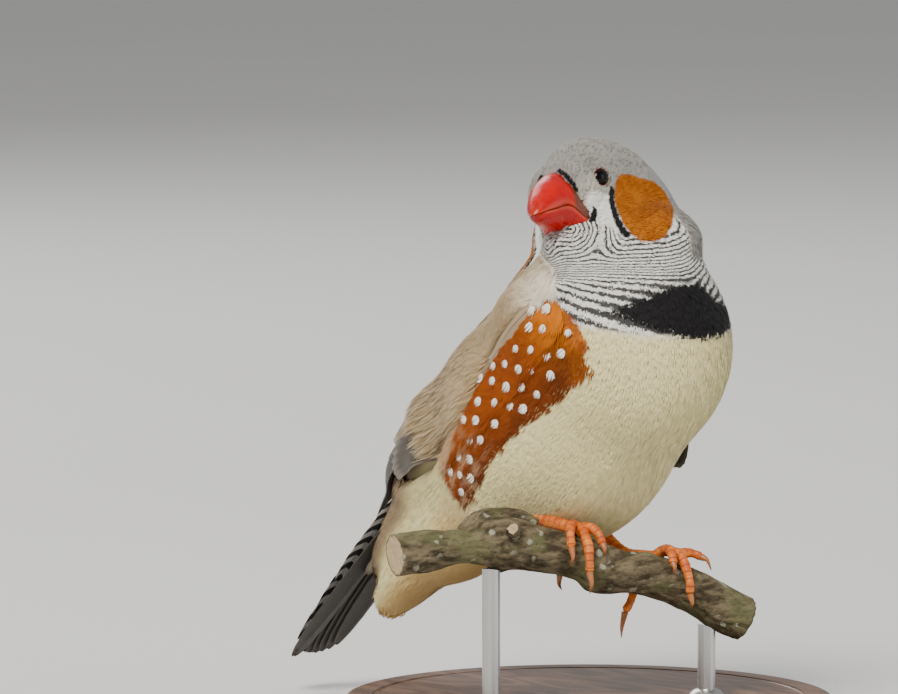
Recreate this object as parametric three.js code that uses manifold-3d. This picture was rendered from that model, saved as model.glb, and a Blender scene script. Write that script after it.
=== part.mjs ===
// A life-size male zebra finch with its head turned, on a cut length of branch held by a plain stand.
// Millimetres and degrees, +Z up. The origin is the middle of the stand's underside, and the trunk faces -Y.
import * as THREE from "three";
import { mergeVertices } from "three/addons/utils/BufferGeometryUtils.js";
import Module from "manifold-3d";

const wasm = await Module();
wasm.setup();

// Driving dimensions
const gap = 0.3; // left between pieces that touch
const fineness = 0.03; // the most that a surface moves when its smallest triangles are merged
const perchHeight = 21; // perch's centre line above the floor, midway between the feet
const perchForward = 9; // the same point ahead of the stand's middle
const trunkSlope = 44; // the trunk's long axis, down towards the tail
const tailSlope = 48;
const headTurn = 77.5; // to the bird's right
const headRoll = -17.4; // crown towards the bird's right cheek
const blendSharpness = 1.1; // per millimetre: how tightly the body's forms melt together

const deg = Math.PI / 180;
const vec = (x, y, z) => new THREE.Vector3(x, y, z);
const mix = (a, b, t) => a + (b - a) * t;
const clamp01 = (t) => Math.min(1, Math.max(0, t));
const ease = (t) => clamp01(t) ** 2 * (3 - 2 * clamp01(t));
const shares = (from, to, count) =>
  Array.from({ length: count }, (_, i) => mix(from, to, i / (count - 1)));

// A value read off rows of [place, value, ...] by straight lines between them
function readRow(rows, place) {
  let i = 0;
  while (i < rows.length - 2 && place > rows[i + 1][0]) i++;
  const t = clamp01((place - rows[i][0]) / (rows[i + 1][0] - rows[i][0]));
  return rows[i].slice(1).map((value, k) => mix(value, rows[i + 1][k + 1], t));
}

// Frames: an origin and three unit vectors
const perchMiddle = vec(0, -perchForward, perchHeight);
const fromPerch = (x, y, z) => perchMiddle.clone().add(vec(x, y, z));

function slopedFrame(origin, slope) {
  return {
    origin,
    along: vec(0, Math.cos(slope * deg), -Math.sin(slope * deg)), // towards the tail
    side: vec(1, 0, 0), // the bird's left
    rise: vec(0, Math.sin(slope * deg), Math.cos(slope * deg)), // towards the back
  };
}
function headFrame() {
  const turn = new THREE.Matrix4().makeRotationZ(-headTurn * deg);
  const pose = turn.multiply(new THREE.Matrix4().makeRotationY(headRoll * deg));
  return {
    origin: fromPerch(-6.05, 7.1, 51.8), // midway between the eyes
    along: vec(0, -1, 0).applyMatrix4(pose), // towards the bill
    side: vec(1, 0, 0).applyMatrix4(pose),
    rise: vec(0, 0, 1).applyMatrix4(pose),
  };
}
const trunk = slopedFrame(fromPerch(0, 4, 32.5), trunkSlope);
const tailFrame = slopedFrame(fromPerch(0, 36.3, 12.1), tailSlope);
const head = headFrame();
const neckFrame = { ...slopedFrame(fromPerch(0.3, 5, 43.5), 0), along: vec(0, -1, 0) };

function place(frame, along, side, rise) {
  return frame.origin
    .clone()
    .addScaledVector(frame.along, along)
    .addScaledVector(frame.side, side)
    .addScaledVector(frame.rise, rise);
}

// The plumage's outer surface is the smooth union of ellipsoids: [along, side, rise, long, wide, deep].
// One with a side is made on both sides.
const trunkForms = [
  [1.2, 0, -1.7, 15.8, 14.3, 15.7], // breast
  [15, 0, -1.8, 19.4, 13.5, 17.3], // belly
  [25, 0, -3.1, 13, 11, 11.1], // lower belly
  [29.2, 0, 6.4, 16.1, 9.8, 8.3], // rump
  [36.5, 0, -1.6, 12.6, 7.3, 6.8], // vent
  [45, 0, 3.6, 11, 5.4, 4.6], // tail's root
  [2.1, 6.6, 1.9, 12.1, 7.6, 9.9], // shoulders
  [14, 5.8, -6, 13, 7.6, 7.4], // flanks
  [47, 0, -0.4, 12.3, 5.1, 3.4], // the tail's under coverts
];
const headForms = [
  [-5, 0, -0.5, 7.8, 6.3, 6.9], // skull
  [-4.9, 3.9, -5.2, 4.7, 3, 4.3], // cheeks
  [3.2, 0, -7.4, 4.4, 3.1, 3.1], // chin
  [2.5, 0, -0.8, 2.8, 5.1, 4.5], // forehead and lores
  [-8.6, 0, -1, 5.1, 6.7, 5.8], // hind crown
  [-10.4, 0, -3.6, 5.4, 7, 5.7], // nape
  [-11.7, 0, -5.2, 4.8, 7.3, 5.4],
];
const neckForms = [
  [1.4, 0, 1.2, 10.7, 10.8, 5.7],
  [3, 0, -3.2, 6.8, 8.9, 6],
];

function ellipsoids(frame, rows) {
  const made = [];
  for (const [along, side, rise, long, wide, deep] of rows) {
    for (const flip of side === 0 ? [0] : [-1, 1]) {
      made.push({
        centre: place(frame, along, side * flip, rise),
        axes: [frame.along, frame.side, frame.rise],
        radii: [long, wide, deep],
        size: Math.cbrt(long * wide * deep),
      });
    }
  }
  return made;
}
const forms = [
  ...ellipsoids(trunk, trunkForms),
  ...ellipsoids(neckFrame, neckForms),
  ...ellipsoids(head, headForms),
];

// Wings lie between an upper and a lower edge: [along the trunk, angle from the spine, angle]
const wingEdges = [
  [-6, 60, 76],
  [-2, 50, 86],
  [6, 40, 90],
  [16, 33, 88],
  [26, 26, 78],
  [34, 20, 64],
  [40, 16, 44],
];

// How deep they lie sunk into the trunk, most at the shoulder and along their lower edge
const bedDeep = 2;
function bedDepth(point) {
  const from = point.clone().sub(trunk.origin);
  const along = from.dot(trunk.along);
  const angle = Math.atan2(Math.abs(from.dot(trunk.side)), from.dot(trunk.rise)) / deg;
  const [top, bottom] = readRow(wingEdges, along);
  const within = ease((angle - top + 14) / 14) * ease((bottom + 12 - angle) / 12);
  const lengthwise = ease((along + 9) / 6) * ease((44 - along) / 10);
  return bedDeep * within * lengthwise * Math.max(0.5, ease((4 - along) / 8), ease((angle - 55) / 25) * 0.8);
}

// Distance, about, outside the plumage's surface: negative within it.
function outside(point) {
  let sum = 0;
  for (const { centre, axes, radii, size } of forms) {
    const [dx, dy, dz] = [point.x - centre.x, point.y - centre.y, point.z - centre.z];
    const scaled = axes.map((axis, i) => (dx * axis.x + dy * axis.y + dz * axis.z) / radii[i]);
    sum += Math.exp(-blendSharpness * (Math.hypot(...scaled) - 1) * size);
  }
  return bedDepth(point) - Math.log(sum) / blendSharpness;
}

// The point where a ray leaves the surface swollen by the offset
function surfaceAt(origin, direction, offset = 0) {
  let near = 0;
  let far = 40;
  for (let i = 0; i < 24; i++) {
    const middle = (near + far) / 2;
    if (outside(origin.clone().addScaledVector(direction, middle)) < offset) near = middle;
    else far = middle;
  }
  return origin.clone().addScaledVector(direction, near);
}

// The body's core line runs from rump to skull, as rows of [share, x, y, z, facing]: facing is the angle
// of the section's normal above the horizon, in the plane of symmetry.
const coreRows = [
  [0, 0, 34, 7, 44],
  [0.25, 0, 22, 16.5, 44],
  [0.5, 0, 8.5, 28, 50],
  [0.66, -0.5, 5.4, 36, 64],
  [0.8, -1.2, 6.4, 42.4, 88],
  [1, -0.8, 8, 50, 102],
];
function coreAt(share) {
  const [x, y, z, facing] = readRow(coreRows, share);
  const normal = vec(0, -Math.cos(facing * deg), Math.sin(facing * deg));
  const side = vec(1, 0, 0);
  return { origin: fromPerch(x, y, z), normal, side, rise: normal.clone().cross(side).negate() };
}

const aroundBody = 40;
// A ring of the surface round the core line. Lean turns its rays towards the end of the line.
function bodyRing(share, lean = 0, offset = 0, shift = 0) {
  const at = coreAt(share);
  const origin = at.origin.clone().addScaledVector(at.normal, shift);
  return Array.from({ length: aroundBody }, (_, j) => {
    const angle = (2 * Math.PI * j) / aroundBody;
    const direction = at.side
      .clone()
      .multiplyScalar(Math.sin(angle))
      .addScaledVector(at.rise, Math.cos(angle))
      .multiplyScalar(Math.cos(lean * deg))
      .addScaledVector(at.normal, Math.sin(lean * deg));
    return surfaceAt(origin, direction, offset);
  });
}

function centreOf(ring) {
  return ring
    .reduce((sum, p) => sum.add(p), vec(0, 0, 0))
    .multiplyScalar(1 / ring.length);
}

// A closed surface through rings of equally many points. Each end is a point, or closed by a fan.
function loft(rings, tips = {}) {
  const count = rings[0].length;
  const points = rings.flat();
  const faces = [];
  for (let i = 0; i < rings.length - 1; i++) {
    for (let j = 0; j < count; j++) {
      const a = i * count + j;
      const b = i * count + ((j + 1) % count);
      faces.push([a, b, b + count], [a, b + count, a + count]);
    }
  }
  const first = points.push(tips.start ?? centreOf(rings[0])) - 1;
  const last = points.push(tips.end ?? centreOf(rings.at(-1))) - 1;
  const base = (rings.length - 1) * count;
  for (let j = 0; j < count; j++) {
    faces.push([first, (j + 1) % count, j]);
    faces.push([last, base + j, base + ((j + 1) % count)]);
  }
  return solidFrom(points, faces);
}

function solidFrom(points, faces) {
  const vertProperties = new Float32Array(points.flatMap((p) => [p.x, p.y, p.z]));
  const made = (triangles) =>
    new wasm.Manifold(
      new wasm.Mesh({ numProp: 3, vertProperties, triVerts: new Uint32Array(triangles.flat()) }),
    );
  const solid = made(faces);
  return solid.volume() > 0 ? solid : made(faces.map(([a, b, c]) => [a, c, b]));
}

// A three.js geometry as a solid
function solidOf(geometry, matrix = new THREE.Matrix4()) {
  const bare = new THREE.BufferGeometry();
  bare.setAttribute("position", geometry.getAttribute("position").clone());
  if (geometry.index) bare.setIndex(geometry.index.clone());
  bare.applyMatrix4(matrix);
  const merged = mergeVertices(bare, 1e-4);
  return new wasm.Manifold(
    new wasm.Mesh({
      numProp: 3,
      vertProperties: merged.attributes.position.array,
      triVerts: new Uint32Array(merged.index.array),
    }),
  );
}

const joined = (solids) => solids.reduce((all, solid) => all.add(solid));

// The largest closed surface of a solid
function largest(solid) {
  return solid.decompose().reduce((best, piece) => (piece.volume() > best.volume() ? piece : best));
}

function ball(centre, radius, detail = 16) {
  const at = new THREE.Matrix4().makeTranslation(centre.x, centre.y, centre.z);
  return solidOf(new THREE.SphereGeometry(radius, detail, Math.round(detail * 0.7)), at);
}

// A round tube through centres with radii, closed by fans. Its sections keep one side towards the guide.
function tube(centres, radii, sides, guide = vec(0, 0, 1)) {
  const rings = centres.map((centre, i) => {
    const ahead = centres[Math.min(i + 1, centres.length - 1)];
    const behind = centres[Math.max(i - 1, 0)];
    const tangent = ahead.clone().sub(behind).normalize();
    const across = tangent.clone().cross(guide).normalize();
    const up = across.clone().cross(tangent);
    return Array.from({ length: sides }, (_, j) => {
      const angle = (2 * Math.PI * j) / sides;
      return centre
        .clone()
        .addScaledVector(across, Math.cos(angle) * radii[i])
        .addScaledVector(up, Math.sin(angle) * radii[i]);
    });
  });
  return loft(rings);
}

// Body: torso, neck and head are lengths of one surface, parted across the core line
const neckShare = 0.64;
const headShare = 0.8;
const rumpLeans = [-78, -62, -46, -30, -15];
const crownLeans = [14, 28, 42, 56, 70, 80];

function torsoSolid(offset = 0) {
  const end = coreAt(0);
  const rings = [
    ...rumpLeans.map((lean) => bodyRing(0, lean, offset)),
    ...shares(0, neckShare, 15).map((share) => bodyRing(share, 0, offset)),
  ];
  return loft(rings, { start: surfaceAt(end.origin, end.normal.clone().negate(), offset) });
}
function neckSolid(offset = 0) {
  const inner = shares(neckShare, headShare, 6).slice(1, -1);
  return loft([
    bodyRing(neckShare, 0, offset, gap),
    ...inner.map((share) => bodyRing(share, 0, offset)),
    bodyRing(headShare, 0, offset),
  ]);
}
function skullSolid(offset = 0) {
  const rings = [
    bodyRing(headShare, 0, offset, gap),
    ...shares(headShare, 1, 6).slice(1).map((share) => bodyRing(share, 0, offset)),
    ...crownLeans.map((lean) => bodyRing(1, lean, offset)),
  ];
  return loft(rings, { end: surfaceAt(coreAt(1).origin, coreAt(1).normal, offset) });
}

// Bill: half sections along the head's own axis, as [along, half width, height from the line of the mouth]
const mouthRows = [
  [2.4, -5.6],
  [3.4, -5.3],
  [4.6, -4.5],
  [6.4, -2.9],
  [9.5, -2.8],
  [12, -3.05],
]; // along, rise
const upperRows = [
  [2.4, 3.3, 8.1],
  [3.6, 3.45, 7.5],
  [5, 3.35, 6.3],
  [6.6, 3.05, 4.5],
  [8.2, 2.6, 3.55],
  [10, 1.95, 2.35],
  [11.2, 1.3, 1.35],
  [11.7, 0.7, 0.65],
];
const lowerRows = [
  [2.4, 3.2, 1.6],
  [3.6, 3.4, 1.7],
  [5, 3.2, 1.9],
  [6.6, 2.85, 2.4],
  [8.2, 2.35, 2],
  [10, 1.65, 1.35],
  [11, 0.9, 0.75],
];
function billPoint(sign, [along, halfWidth, height], angle) {
  const side = Math.cos(angle * deg) * halfWidth;
  const rise = gap / 2 + Math.sin(angle * deg) ** 0.85 * height;
  return place(head, along, side, readRow(mouthRows, along)[0] + sign * rise);
}
function mandible(sign, rows, tipAlong) {
  const rings = rows.map((row) => shares(0, 180, 13).map((angle) => billPoint(sign, row, angle)));
  return loft(rings, { end: billPoint(sign, [tipAlong, 0, 0.12], 90) });
}
function upperBill() {
  const nostrils = [52, 128].map((angle) => ball(billPoint(1, upperRows[2], angle), 0.4, 8));
  return mandible(1, upperRows, 11.9).subtract(joined(nostrils));
}

// Eyes
const eye = { along: -0.7, side: 4.2, rise: 0.3, radius: 1.5 };
const lid = { radius: 1.6, thickness: 0.32, height: 0.85 };
const eyeCentre = (sign) => place(head, eye.along, eye.side * sign, eye.rise);
const eyeOutward = (sign) =>
  head.side.clone().multiplyScalar(sign).addScaledVector(head.along, 0.42).normalize();
function lidSolid(sign) {
  const ring = new THREE.TorusGeometry(lid.radius, lid.thickness, 6, 18);
  const turn = new THREE.Quaternion().setFromUnitVectors(vec(0, 0, 1), eyeOutward(sign));
  const at = eyeCentre(sign).addScaledVector(eyeOutward(sign), lid.height);
  return solidOf(ring, new THREE.Matrix4().compose(at, turn, vec(1, 1, 1)));
}

// Wings: all their parts lie on sheets wrapped round the trunk. A place on a sheet is [along, angle from
// the spine, distance out from the plumage]. The left wing's lower edge hangs off the flank.
const wings = [
  { sign: -1, droop: 0, lift: 0 },
  { sign: 1, droop: 44, lift: 2.5 },
]; // right, left
const wingAxis = [
  [-6, 0],
  [20, 0],
  [52, 3.2],
]; // along, rise of the line that the wings are wrapped round
const wingTaper = [
  [20, 0],
  [32, 10.5],
  [40, 8.2],
  [52, 4.6],
]; // along, the least radius behind the body
function sheetPoint({ sign, droop, lift }, along, angle, offset) {
  const lowered = Math.exp(-(((along - 16.5) / 10) ** 2)) * ease((angle - 50) / 45);
  const turned = (angle + droop * lowered) * deg;
  const origin = place(trunk, along, 0, readRow(wingAxis, along)[0]);
  const direction = trunk.rise
    .clone()
    .multiplyScalar(Math.cos(turned))
    .addScaledVector(trunk.side, sign * Math.sin(turned));
  const reach = surfaceAt(origin, direction).distanceTo(origin);
  const radius = Math.max(reach, readRow(wingTaper, along)[0]);
  return origin.addScaledVector(direction, radius + offset + lift * lowered);
}

// The wing's core, under its feathers, thins towards its ends
function coreSolid(wing) {
  const rings = shares(-6, 40, 9).map((along) => {
    const [top, bottom] = readRow(wingEdges, along);
    const outer = mix(0.8, 1.2, ease((along + 8) / 8) * ease((46 - along) / 20));
    const arc = shares(top, bottom, 6);
    return [
      ...arc.map((angle) => sheetPoint(wing, along, angle, outer)),
      ...arc.reverse().map((angle) => sheetPoint(wing, along, angle, gap + 0.1)),
    ];
  });
  return loft(rings);
}

// A feather: a thin vane with a rounded tip. Its points come from a share of its length, a distance across
// and a distance out, and the tilt lifts one edge over its neighbour.
const vaneThickness = 0.55;
function vane(halfWidth, tilt, steps, pointAt) {
  const rings = shares(0, 1, steps).map((share) => {
    const width = mix(0.7, 1, ease(share / 0.4)) * Math.sqrt(1 - (clamp01((share - 0.6) / 0.4) * 0.98) ** 2);
    const [across, edge, half] = [halfWidth * width, tilt * width, vaneThickness / 2];
    return [
      pointAt(share, -across, -edge - half),
      pointAt(share, across, edge - half),
      pointAt(share, across, edge + half),
      pointAt(share, -across, -edge + half),
    ];
  });
  return loft(rings);
}

// Rows of feathers from the lower edge of the wing to the upper: the first and the last feather's root and
// tip as [along, angle], their distances out, half width, and how far the tips of the row bow backwards.
const wingTiers = [
  { count: 7, from: [[8, 86], [50, 15]], to: [[10, 79], [39, 34]], out: [0.9, 1.2], half: 1.8, bow: 4, steps: 6 },
  { count: 5, from: [[8, 83], [37, 56]], to: [[11, 60], [34, 36]], out: [1.15, 1.4], half: 2.2, bow: 1.5, steps: 5 },
  { count: 3, from: [[9, 60], [36, 34]], to: [[12, 48], [26, 36]], out: [1.5, 1.65], half: 3, bow: 1, steps: 5 },
  { count: 7, from: [[5, 87], [16, 83]], to: [[7, 50], [18, 44]], out: [1.5, 1.6], half: 1.9, bow: 1.5, steps: 4 },
  { count: 6, from: [[-1, 82], [8, 84]], to: [[0, 56], [10, 49]], out: [1.65, 1.7], half: 2, bow: 1, steps: 4 },
];
function tierFeathers(wing, { count, from, to, out, half, bow, steps }) {
  return shares(0, 1, count).map((place) => {
    const root = from[0].map((value, k) => mix(value, to[0][k], place));
    const tip = from[1].map((value, k) => mix(value, to[1][k], place));
    const offset = mix(...out, place);
    const reach = tip[0] + bow * Math.sin(place * Math.PI);
    return vane(half, -0.22, steps, (share, across, outwards) => {
      const along = mix(root[0], reach, share);
      const angle = mix(root[1], tip[1], share ** 1.2);
      const radius = mix(13, 6, ease((along - 28) / 24));
      return sheetPoint(wing, along, angle - across / radius / deg, offset + outwards);
    });
  });
}
function wingSolid(wing) {
  const feathers = wingTiers.flatMap((tier) => tierFeathers(wing, tier));
  return joined([coreSolid(wing), ...feathers]).trimByPlane([wing.sign, 0, 0], gap / 2);
}

// Tail: pairs of feathers from the middle one out, and coverts over and under their roots, as rows of
// [along at the root, at the tip, side at the root, at the tip, rise at the root, at the tip, half width]
const tailRoot = 2;
const tailRows = [
  [tailRoot, 38, 0.3, 0.5, 0.5, 0.7, 2],
  [tailRoot, 38, 0.7, 1.3, 0.2, 0.4, 2],
  [tailRoot, 37.8, 1.1, 2.1, -0.1, 0.1, 2],
  [tailRoot, 37.3, 1.5, 2.8, -0.4, -0.2, 2],
  [tailRoot, 36.6, 1.9, 3.5, -0.7, -0.5, 1.9],
  [tailRoot, 35.5, 2.3, 4.1, -1, -0.8, 1.8],
  [0, 36, 0.5, 1.2, 1.1, 1.5, 1.9],
  [0, 30, 1.5, 2.2, 0.9, 1.2, 1.9],
  [0, 23, 2.6, 3.4, 0.4, 0.7, 1.9],
  [-2, 20, 0.8, 1.2, -2.2, -1.3, 2.2],
  [-2, 14, 2.2, 2.8, -1.8, -1.2, 2],
];
function tailSolid() {
  const core = shares(0, 30, 7).map((along) => {
    const [half, deep] = [mix(3.2, 3.8, ease(along / 20)), mix(1.5, 0.45, along / 30)];
    return [
      place(tailFrame, along, -half, -deep),
      place(tailFrame, along, half, -deep),
      place(tailFrame, along, half, 0),
      place(tailFrame, along, 0, deep * 0.8),
      place(tailFrame, along, -half, 0),
    ];
  });
  const feathers = tailRows.flatMap(([root, tip, rootSide, tipSide, rootRise, tipRise, half]) =>
    [-1, 1].map((sign) =>
      vane(half, sign * -0.15, 4, (share, across, outwards) => {
        const side = sign * mix(rootSide, tipSide, share) + across;
        const rise = mix(rootRise, tipRise, share) + outwards;
        return place(tailFrame, mix(root, tip, share), side, rise);
      }),
    ),
  );
  return joined([loft(core), ...feathers]);
}

// Perch: a crooked length of branch, as rows of [distance along, rise of its centre, radius]
const perchTurn = 23; // its line, in plan, from the trunk's left-right line
const perchAcross = vec(Math.cos(perchTurn * deg), -Math.sin(perchTurn * deg), 0);
const perchAhead = vec(-Math.sin(perchTurn * deg), -Math.cos(perchTurn * deg), 0);
const perchRows = [
  [-36, 4.4, 2.9],
  [-32, 4.7, 2.9],
  [-28, 4.9, 2.5],
  [-25, 5.2, 2.7],
  [-22, 5.5, 3.5],
  [-19, 5.1, 3.6],
  [-15.6, 4.3, 3.2],
  [-12, 3.55, 3],
  [-8.5, 2.5, 3.05],
  [-5, 1, 3.4],
  [-2, 0.5, 3],
  [1.5, -0.2, 2.9],
  [5, -1.3, 3],
  [8.5, -3.1, 3.05],
  [12, -5, 3.1],
  [15.5, -6.6, 3.15],
];
const perchPoint = (along, angle, radius) =>
  fromPerch(0, 0, readRow(perchRows, along)[0])
    .addScaledVector(perchAcross, along)
    .addScaledVector(perchAhead, Math.sin(angle * deg) * radius)
    .addScaledVector(vec(0, 0, 1), Math.cos(angle * deg) * radius);
function perchSolid(offset = 0) {
  const centres = perchRows.map(([along]) => perchPoint(along, 0, 0));
  return tube(centres, perchRows.map(([, , radius]) => radius + offset), 16);
}

// Legs: toes and claws lie round the perch, as rows of [distance along it, angle from its top, height off
// it]. The last row of a toe is the end of its claw, and the one before it is where the claw starts.
const toeRadius = 0.7;
const feet = {
  right: {
    toes: [
      [[-8.9, -15, 0.6], [-9.2, 19, 0.6], [-9.4, 62, 0.4], [-9.5, 92, 0.6], [-9.5, 110, 0.9], [-9.5, 136, 2.5]],
      [[-8.8, -10, 0.6], [-8.3, 14, 1.1], [-7.6, 32, 1.3], [-7.3, 51, 0.9], [-7.2, 72, 0.1]],
      [[-9, -10, 0.6], [-10.6, 10, 0.8], [-11.6, 40, 0.5], [-12, 74, 0.4], [-12.1, 112, 0.3]],
      [[-8.9, -15, 0.6], [-9.4, -50, 0.5], [-9.9, -95, 0.5], [-10.4, -130, 0.6], [-10.8, -160, 1.6]],
    ],
    shank: [[-8.3, 2.6, 6.3], [-8.4, 7, 7], [-8.6, 12, 8], [-8.5, 17, 11]],
  },
  left: {
    toes: [
      [[4.3, -15, 0.7], [4.9, 10, 0.7], [5.4, 35, 0.4], [5.6, 75, 0.2], [5.7, 104, 0.2], [5.9, 128, 0.9]],
      [[4.2, -15, 0.7], [3.8, 15, 0.9], [3.4, 39, 1], [3.3, 54, 0.7], [3.2, 75, 0.1]],
      [[4.4, -13, 0.7], [6.4, -9, 1.1], [8, -4, 1.8], [9.1, 4, 1.9], [9.9, 20, 0.9]],
      [[4.1, -20, 0.7], [3.2, -60, 0.6], [1.8, -100, 0.9], [0.2, -141, 1.5], [-0.6, -149, 3], [-1.3, -162, 6]],
    ],
    shank: [[4.2, 0.2, 2], [4.4, 3, 1.9], [4.5, 7.1, 2.2], [5, 12, 5.5], [5.5, 16, 10]],
  },
};
function perchPath(rows, steps) {
  const points = rows.map(([along, angle, height]) =>
    perchPoint(along, angle, readRow(perchRows, along)[1] + height + toeRadius * 0.7),
  );
  return new THREE.CatmullRomCurve3(points).getPoints(steps);
}
function legSolid({ toes, shank }) {
  const parts = toes.map((rows) => {
    const path = perchPath(rows.slice(0, -1), 8);
    const joints = (i) => 1 + 0.1 * Math.cos((i * Math.PI) / 2);
    return tube(path, path.map((_, i) => toeRadius * mix(1.02, 0.8, i / 8) * joints(i)), 8, perchAcross);
  });
  const bone = new THREE.CatmullRomCurve3(shank.map((p) => fromPerch(...p))).getPoints(6);
  return joined([...parts, tube(bone, bone.map(() => 0.85), 8, vec(1, 0, 0))]);
}
function clawSolid(rows) {
  const [root, end] = rows.slice(-2);
  const knee = root.map((value, k) => mix(value, end[k], 0.5) + (k === 2 ? 0.45 : 0));
  const path = perchPath([root, knee, end], 5);
  const start = path[1].clone().sub(path[0]).setLength(gap);
  path[0].add(start);
  return tube(path, path.map((_, i) => mix(0.5, 0.12, i / 5)), 7, perchAcross);
}

// Stand
const stand = { radius: 33, thickness: 4, bevel: 0.8, rodRadius: 1.2, rodAlong: [-22, 10] };
function baseSolid() {
  const profile = [
    [0, 0],
    [stand.radius - stand.bevel, 0],
    [stand.radius, stand.bevel],
    [stand.radius, stand.thickness - stand.bevel],
    [stand.radius - stand.bevel, stand.thickness],
    [0, stand.thickness],
  ].map(([x, y]) => new THREE.Vector2(x, y));
  const upright = new THREE.Matrix4().makeRotationX(90 * deg);
  return solidOf(new THREE.LatheGeometry(profile, 48), upright);
}
function rodSolid(along) {
  const top = perchPoint(along, 0, 0);
  const height = top.z - stand.thickness - gap;
  const rod = new THREE.CylinderGeometry(stand.rodRadius, stand.rodRadius, height, 16);
  const matrix = new THREE.Matrix4()
    .makeTranslation(top.x, top.y, stand.thickness + gap + height / 2)
    .multiply(new THREE.Matrix4().makeRotationX(90 * deg));
  return solidOf(rod, matrix);
}

// Assembly
const group = new THREE.Group();
function addNode(name, solid, colour, roughness, metalness = 0) {
  const made = largest(solid).asOriginal().simplify(fineness).getMesh();
  const geometry = new THREE.BufferGeometry();
  geometry.setAttribute("position", new THREE.BufferAttribute(made.vertProperties, 3));
  geometry.setIndex(new THREE.BufferAttribute(made.triVerts, 1));
  geometry.computeVertexNormals();
  const material = new THREE.MeshStandardMaterial({ color: colour, roughness, metalness });
  const mesh = new THREE.Mesh(geometry, material);
  mesh.name = name;
  group.add(mesh);
}

const torsoWide = torsoSolid(gap);
const neckWide = neckSolid(gap);
const skullWide = skullSolid(gap);
const perchWide = perchSolid(gap);
const bodyWide = joined([torsoWide, neckWide, skullWide]);
const [wingRight, wingLeft] = wings.map((wing) => wingSolid(wing).subtract(bodyWide));

addNode("torso", torsoSolid(), 0xe4dcc0, 0.9);
addNode("neck", neckSolid(), 0xb8b6ae, 0.9);
let skull = joined([skullSolid(), lidSolid(-1), lidSolid(1)]);
for (const sign of [-1, 1]) skull = skull.subtract(ball(eyeCentre(sign), eye.radius + gap));
addNode("head", skull, 0xa8a6a2, 0.9);
addNode("bill_upper", upperBill().subtract(bodyWide), 0xe5261d, 0.35);
addNode("bill_lower", mandible(-1, lowerRows, 11.4).subtract(bodyWide), 0xe03a1c, 0.35);
addNode("eye_right", ball(eyeCentre(-1), eye.radius, 14), 0x120a08, 0.1);
addNode("eye_left", ball(eyeCentre(1), eye.radius, 14), 0x120a08, 0.1);
addNode("wing_right", wingRight, 0x9a8b7a, 0.9);
addNode("wing_left", wingLeft, 0x9a8b7a, 0.9);
addNode("tail", tailSolid().subtract(torsoWide), 0x2a2320, 0.9);
addNode("leg_right", legSolid(feet.right).subtract(torsoWide).subtract(perchWide), 0xd9642c, 0.6);
addNode("leg_left", legSolid(feet.left).subtract(torsoWide).subtract(perchWide), 0xd9642c, 0.6);
for (const [side, { toes }] of Object.entries(feet)) {
  toes.forEach((rows, i) => addNode(`claw_${side}_${i + 1}`, clawSolid(rows).subtract(perchWide), 0x6b3a2a, 0.4));
}
addNode("perch", perchSolid(), 0x7d7464, 0.95);
addNode("stand_base", baseSolid(), 0x4a3626, 0.5);
stand.rodAlong.forEach((along, i) =>
  addNode(`stand_rod_${i + 1}`, rodSolid(along).subtract(perchWide), 0xb9b9b6, 0.3, 1),
);

export default group;
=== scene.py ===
import bpy
import numpy as np
from mathutils import Matrix, Vector


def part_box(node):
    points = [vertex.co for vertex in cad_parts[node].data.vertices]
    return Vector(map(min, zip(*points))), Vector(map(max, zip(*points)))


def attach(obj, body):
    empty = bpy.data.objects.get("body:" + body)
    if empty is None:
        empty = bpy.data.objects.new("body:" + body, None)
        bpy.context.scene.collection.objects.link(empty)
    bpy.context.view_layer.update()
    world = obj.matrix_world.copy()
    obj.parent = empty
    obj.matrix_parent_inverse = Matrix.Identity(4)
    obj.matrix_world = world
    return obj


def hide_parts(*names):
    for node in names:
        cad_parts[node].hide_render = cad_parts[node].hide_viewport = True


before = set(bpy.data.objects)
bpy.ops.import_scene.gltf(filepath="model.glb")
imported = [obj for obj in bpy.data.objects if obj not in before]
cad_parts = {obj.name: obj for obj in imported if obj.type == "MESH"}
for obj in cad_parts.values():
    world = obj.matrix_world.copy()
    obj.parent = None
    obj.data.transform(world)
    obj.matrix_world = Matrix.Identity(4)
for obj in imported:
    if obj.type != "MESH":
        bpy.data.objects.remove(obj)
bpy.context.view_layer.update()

# Life-size male zebra finch on a cut branch. Shapes are worked out in millimetres and scaled when they
# become meshes. The perch's middle, between the feet, is the place that most sizes are taken from.
mm = 0.001
perchMiddle = np.array([0.0, -9.0, 21.0])
# the photo's view: its size and the perch's middle in pixels, angles in degrees, the distance in mm
photo = dict(width=898, height=694, perchAt=(640, 575), pixelsPerMm=7.483, azimuth=-48, elevation=5,
             distance=1000)


# Small maths
def unit(v):
    return v / np.maximum(np.linalg.norm(v, axis=-1, keepdims=True), 1e-9)

def ease(t):  # smooth step from 0 to 1
    t = np.clip(t, 0, 1)
    return t * t * (3 - 2 * t)

def mix(a, b, t):
    return a + (b - a) * t

def bell(t):
    return np.exp(-t * t)

def readRow(rows, place):
    # straight lines between rows of [place, value, ...]; the values come last in the result
    rows = np.array(rows, float)
    return np.stack([np.interp(place, rows[:, 0], rows[:, k]) for k in range(1, rows.shape[1])], -1)

def readValue(rows, place):
    return readRow(rows, place)[..., 0]

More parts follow.
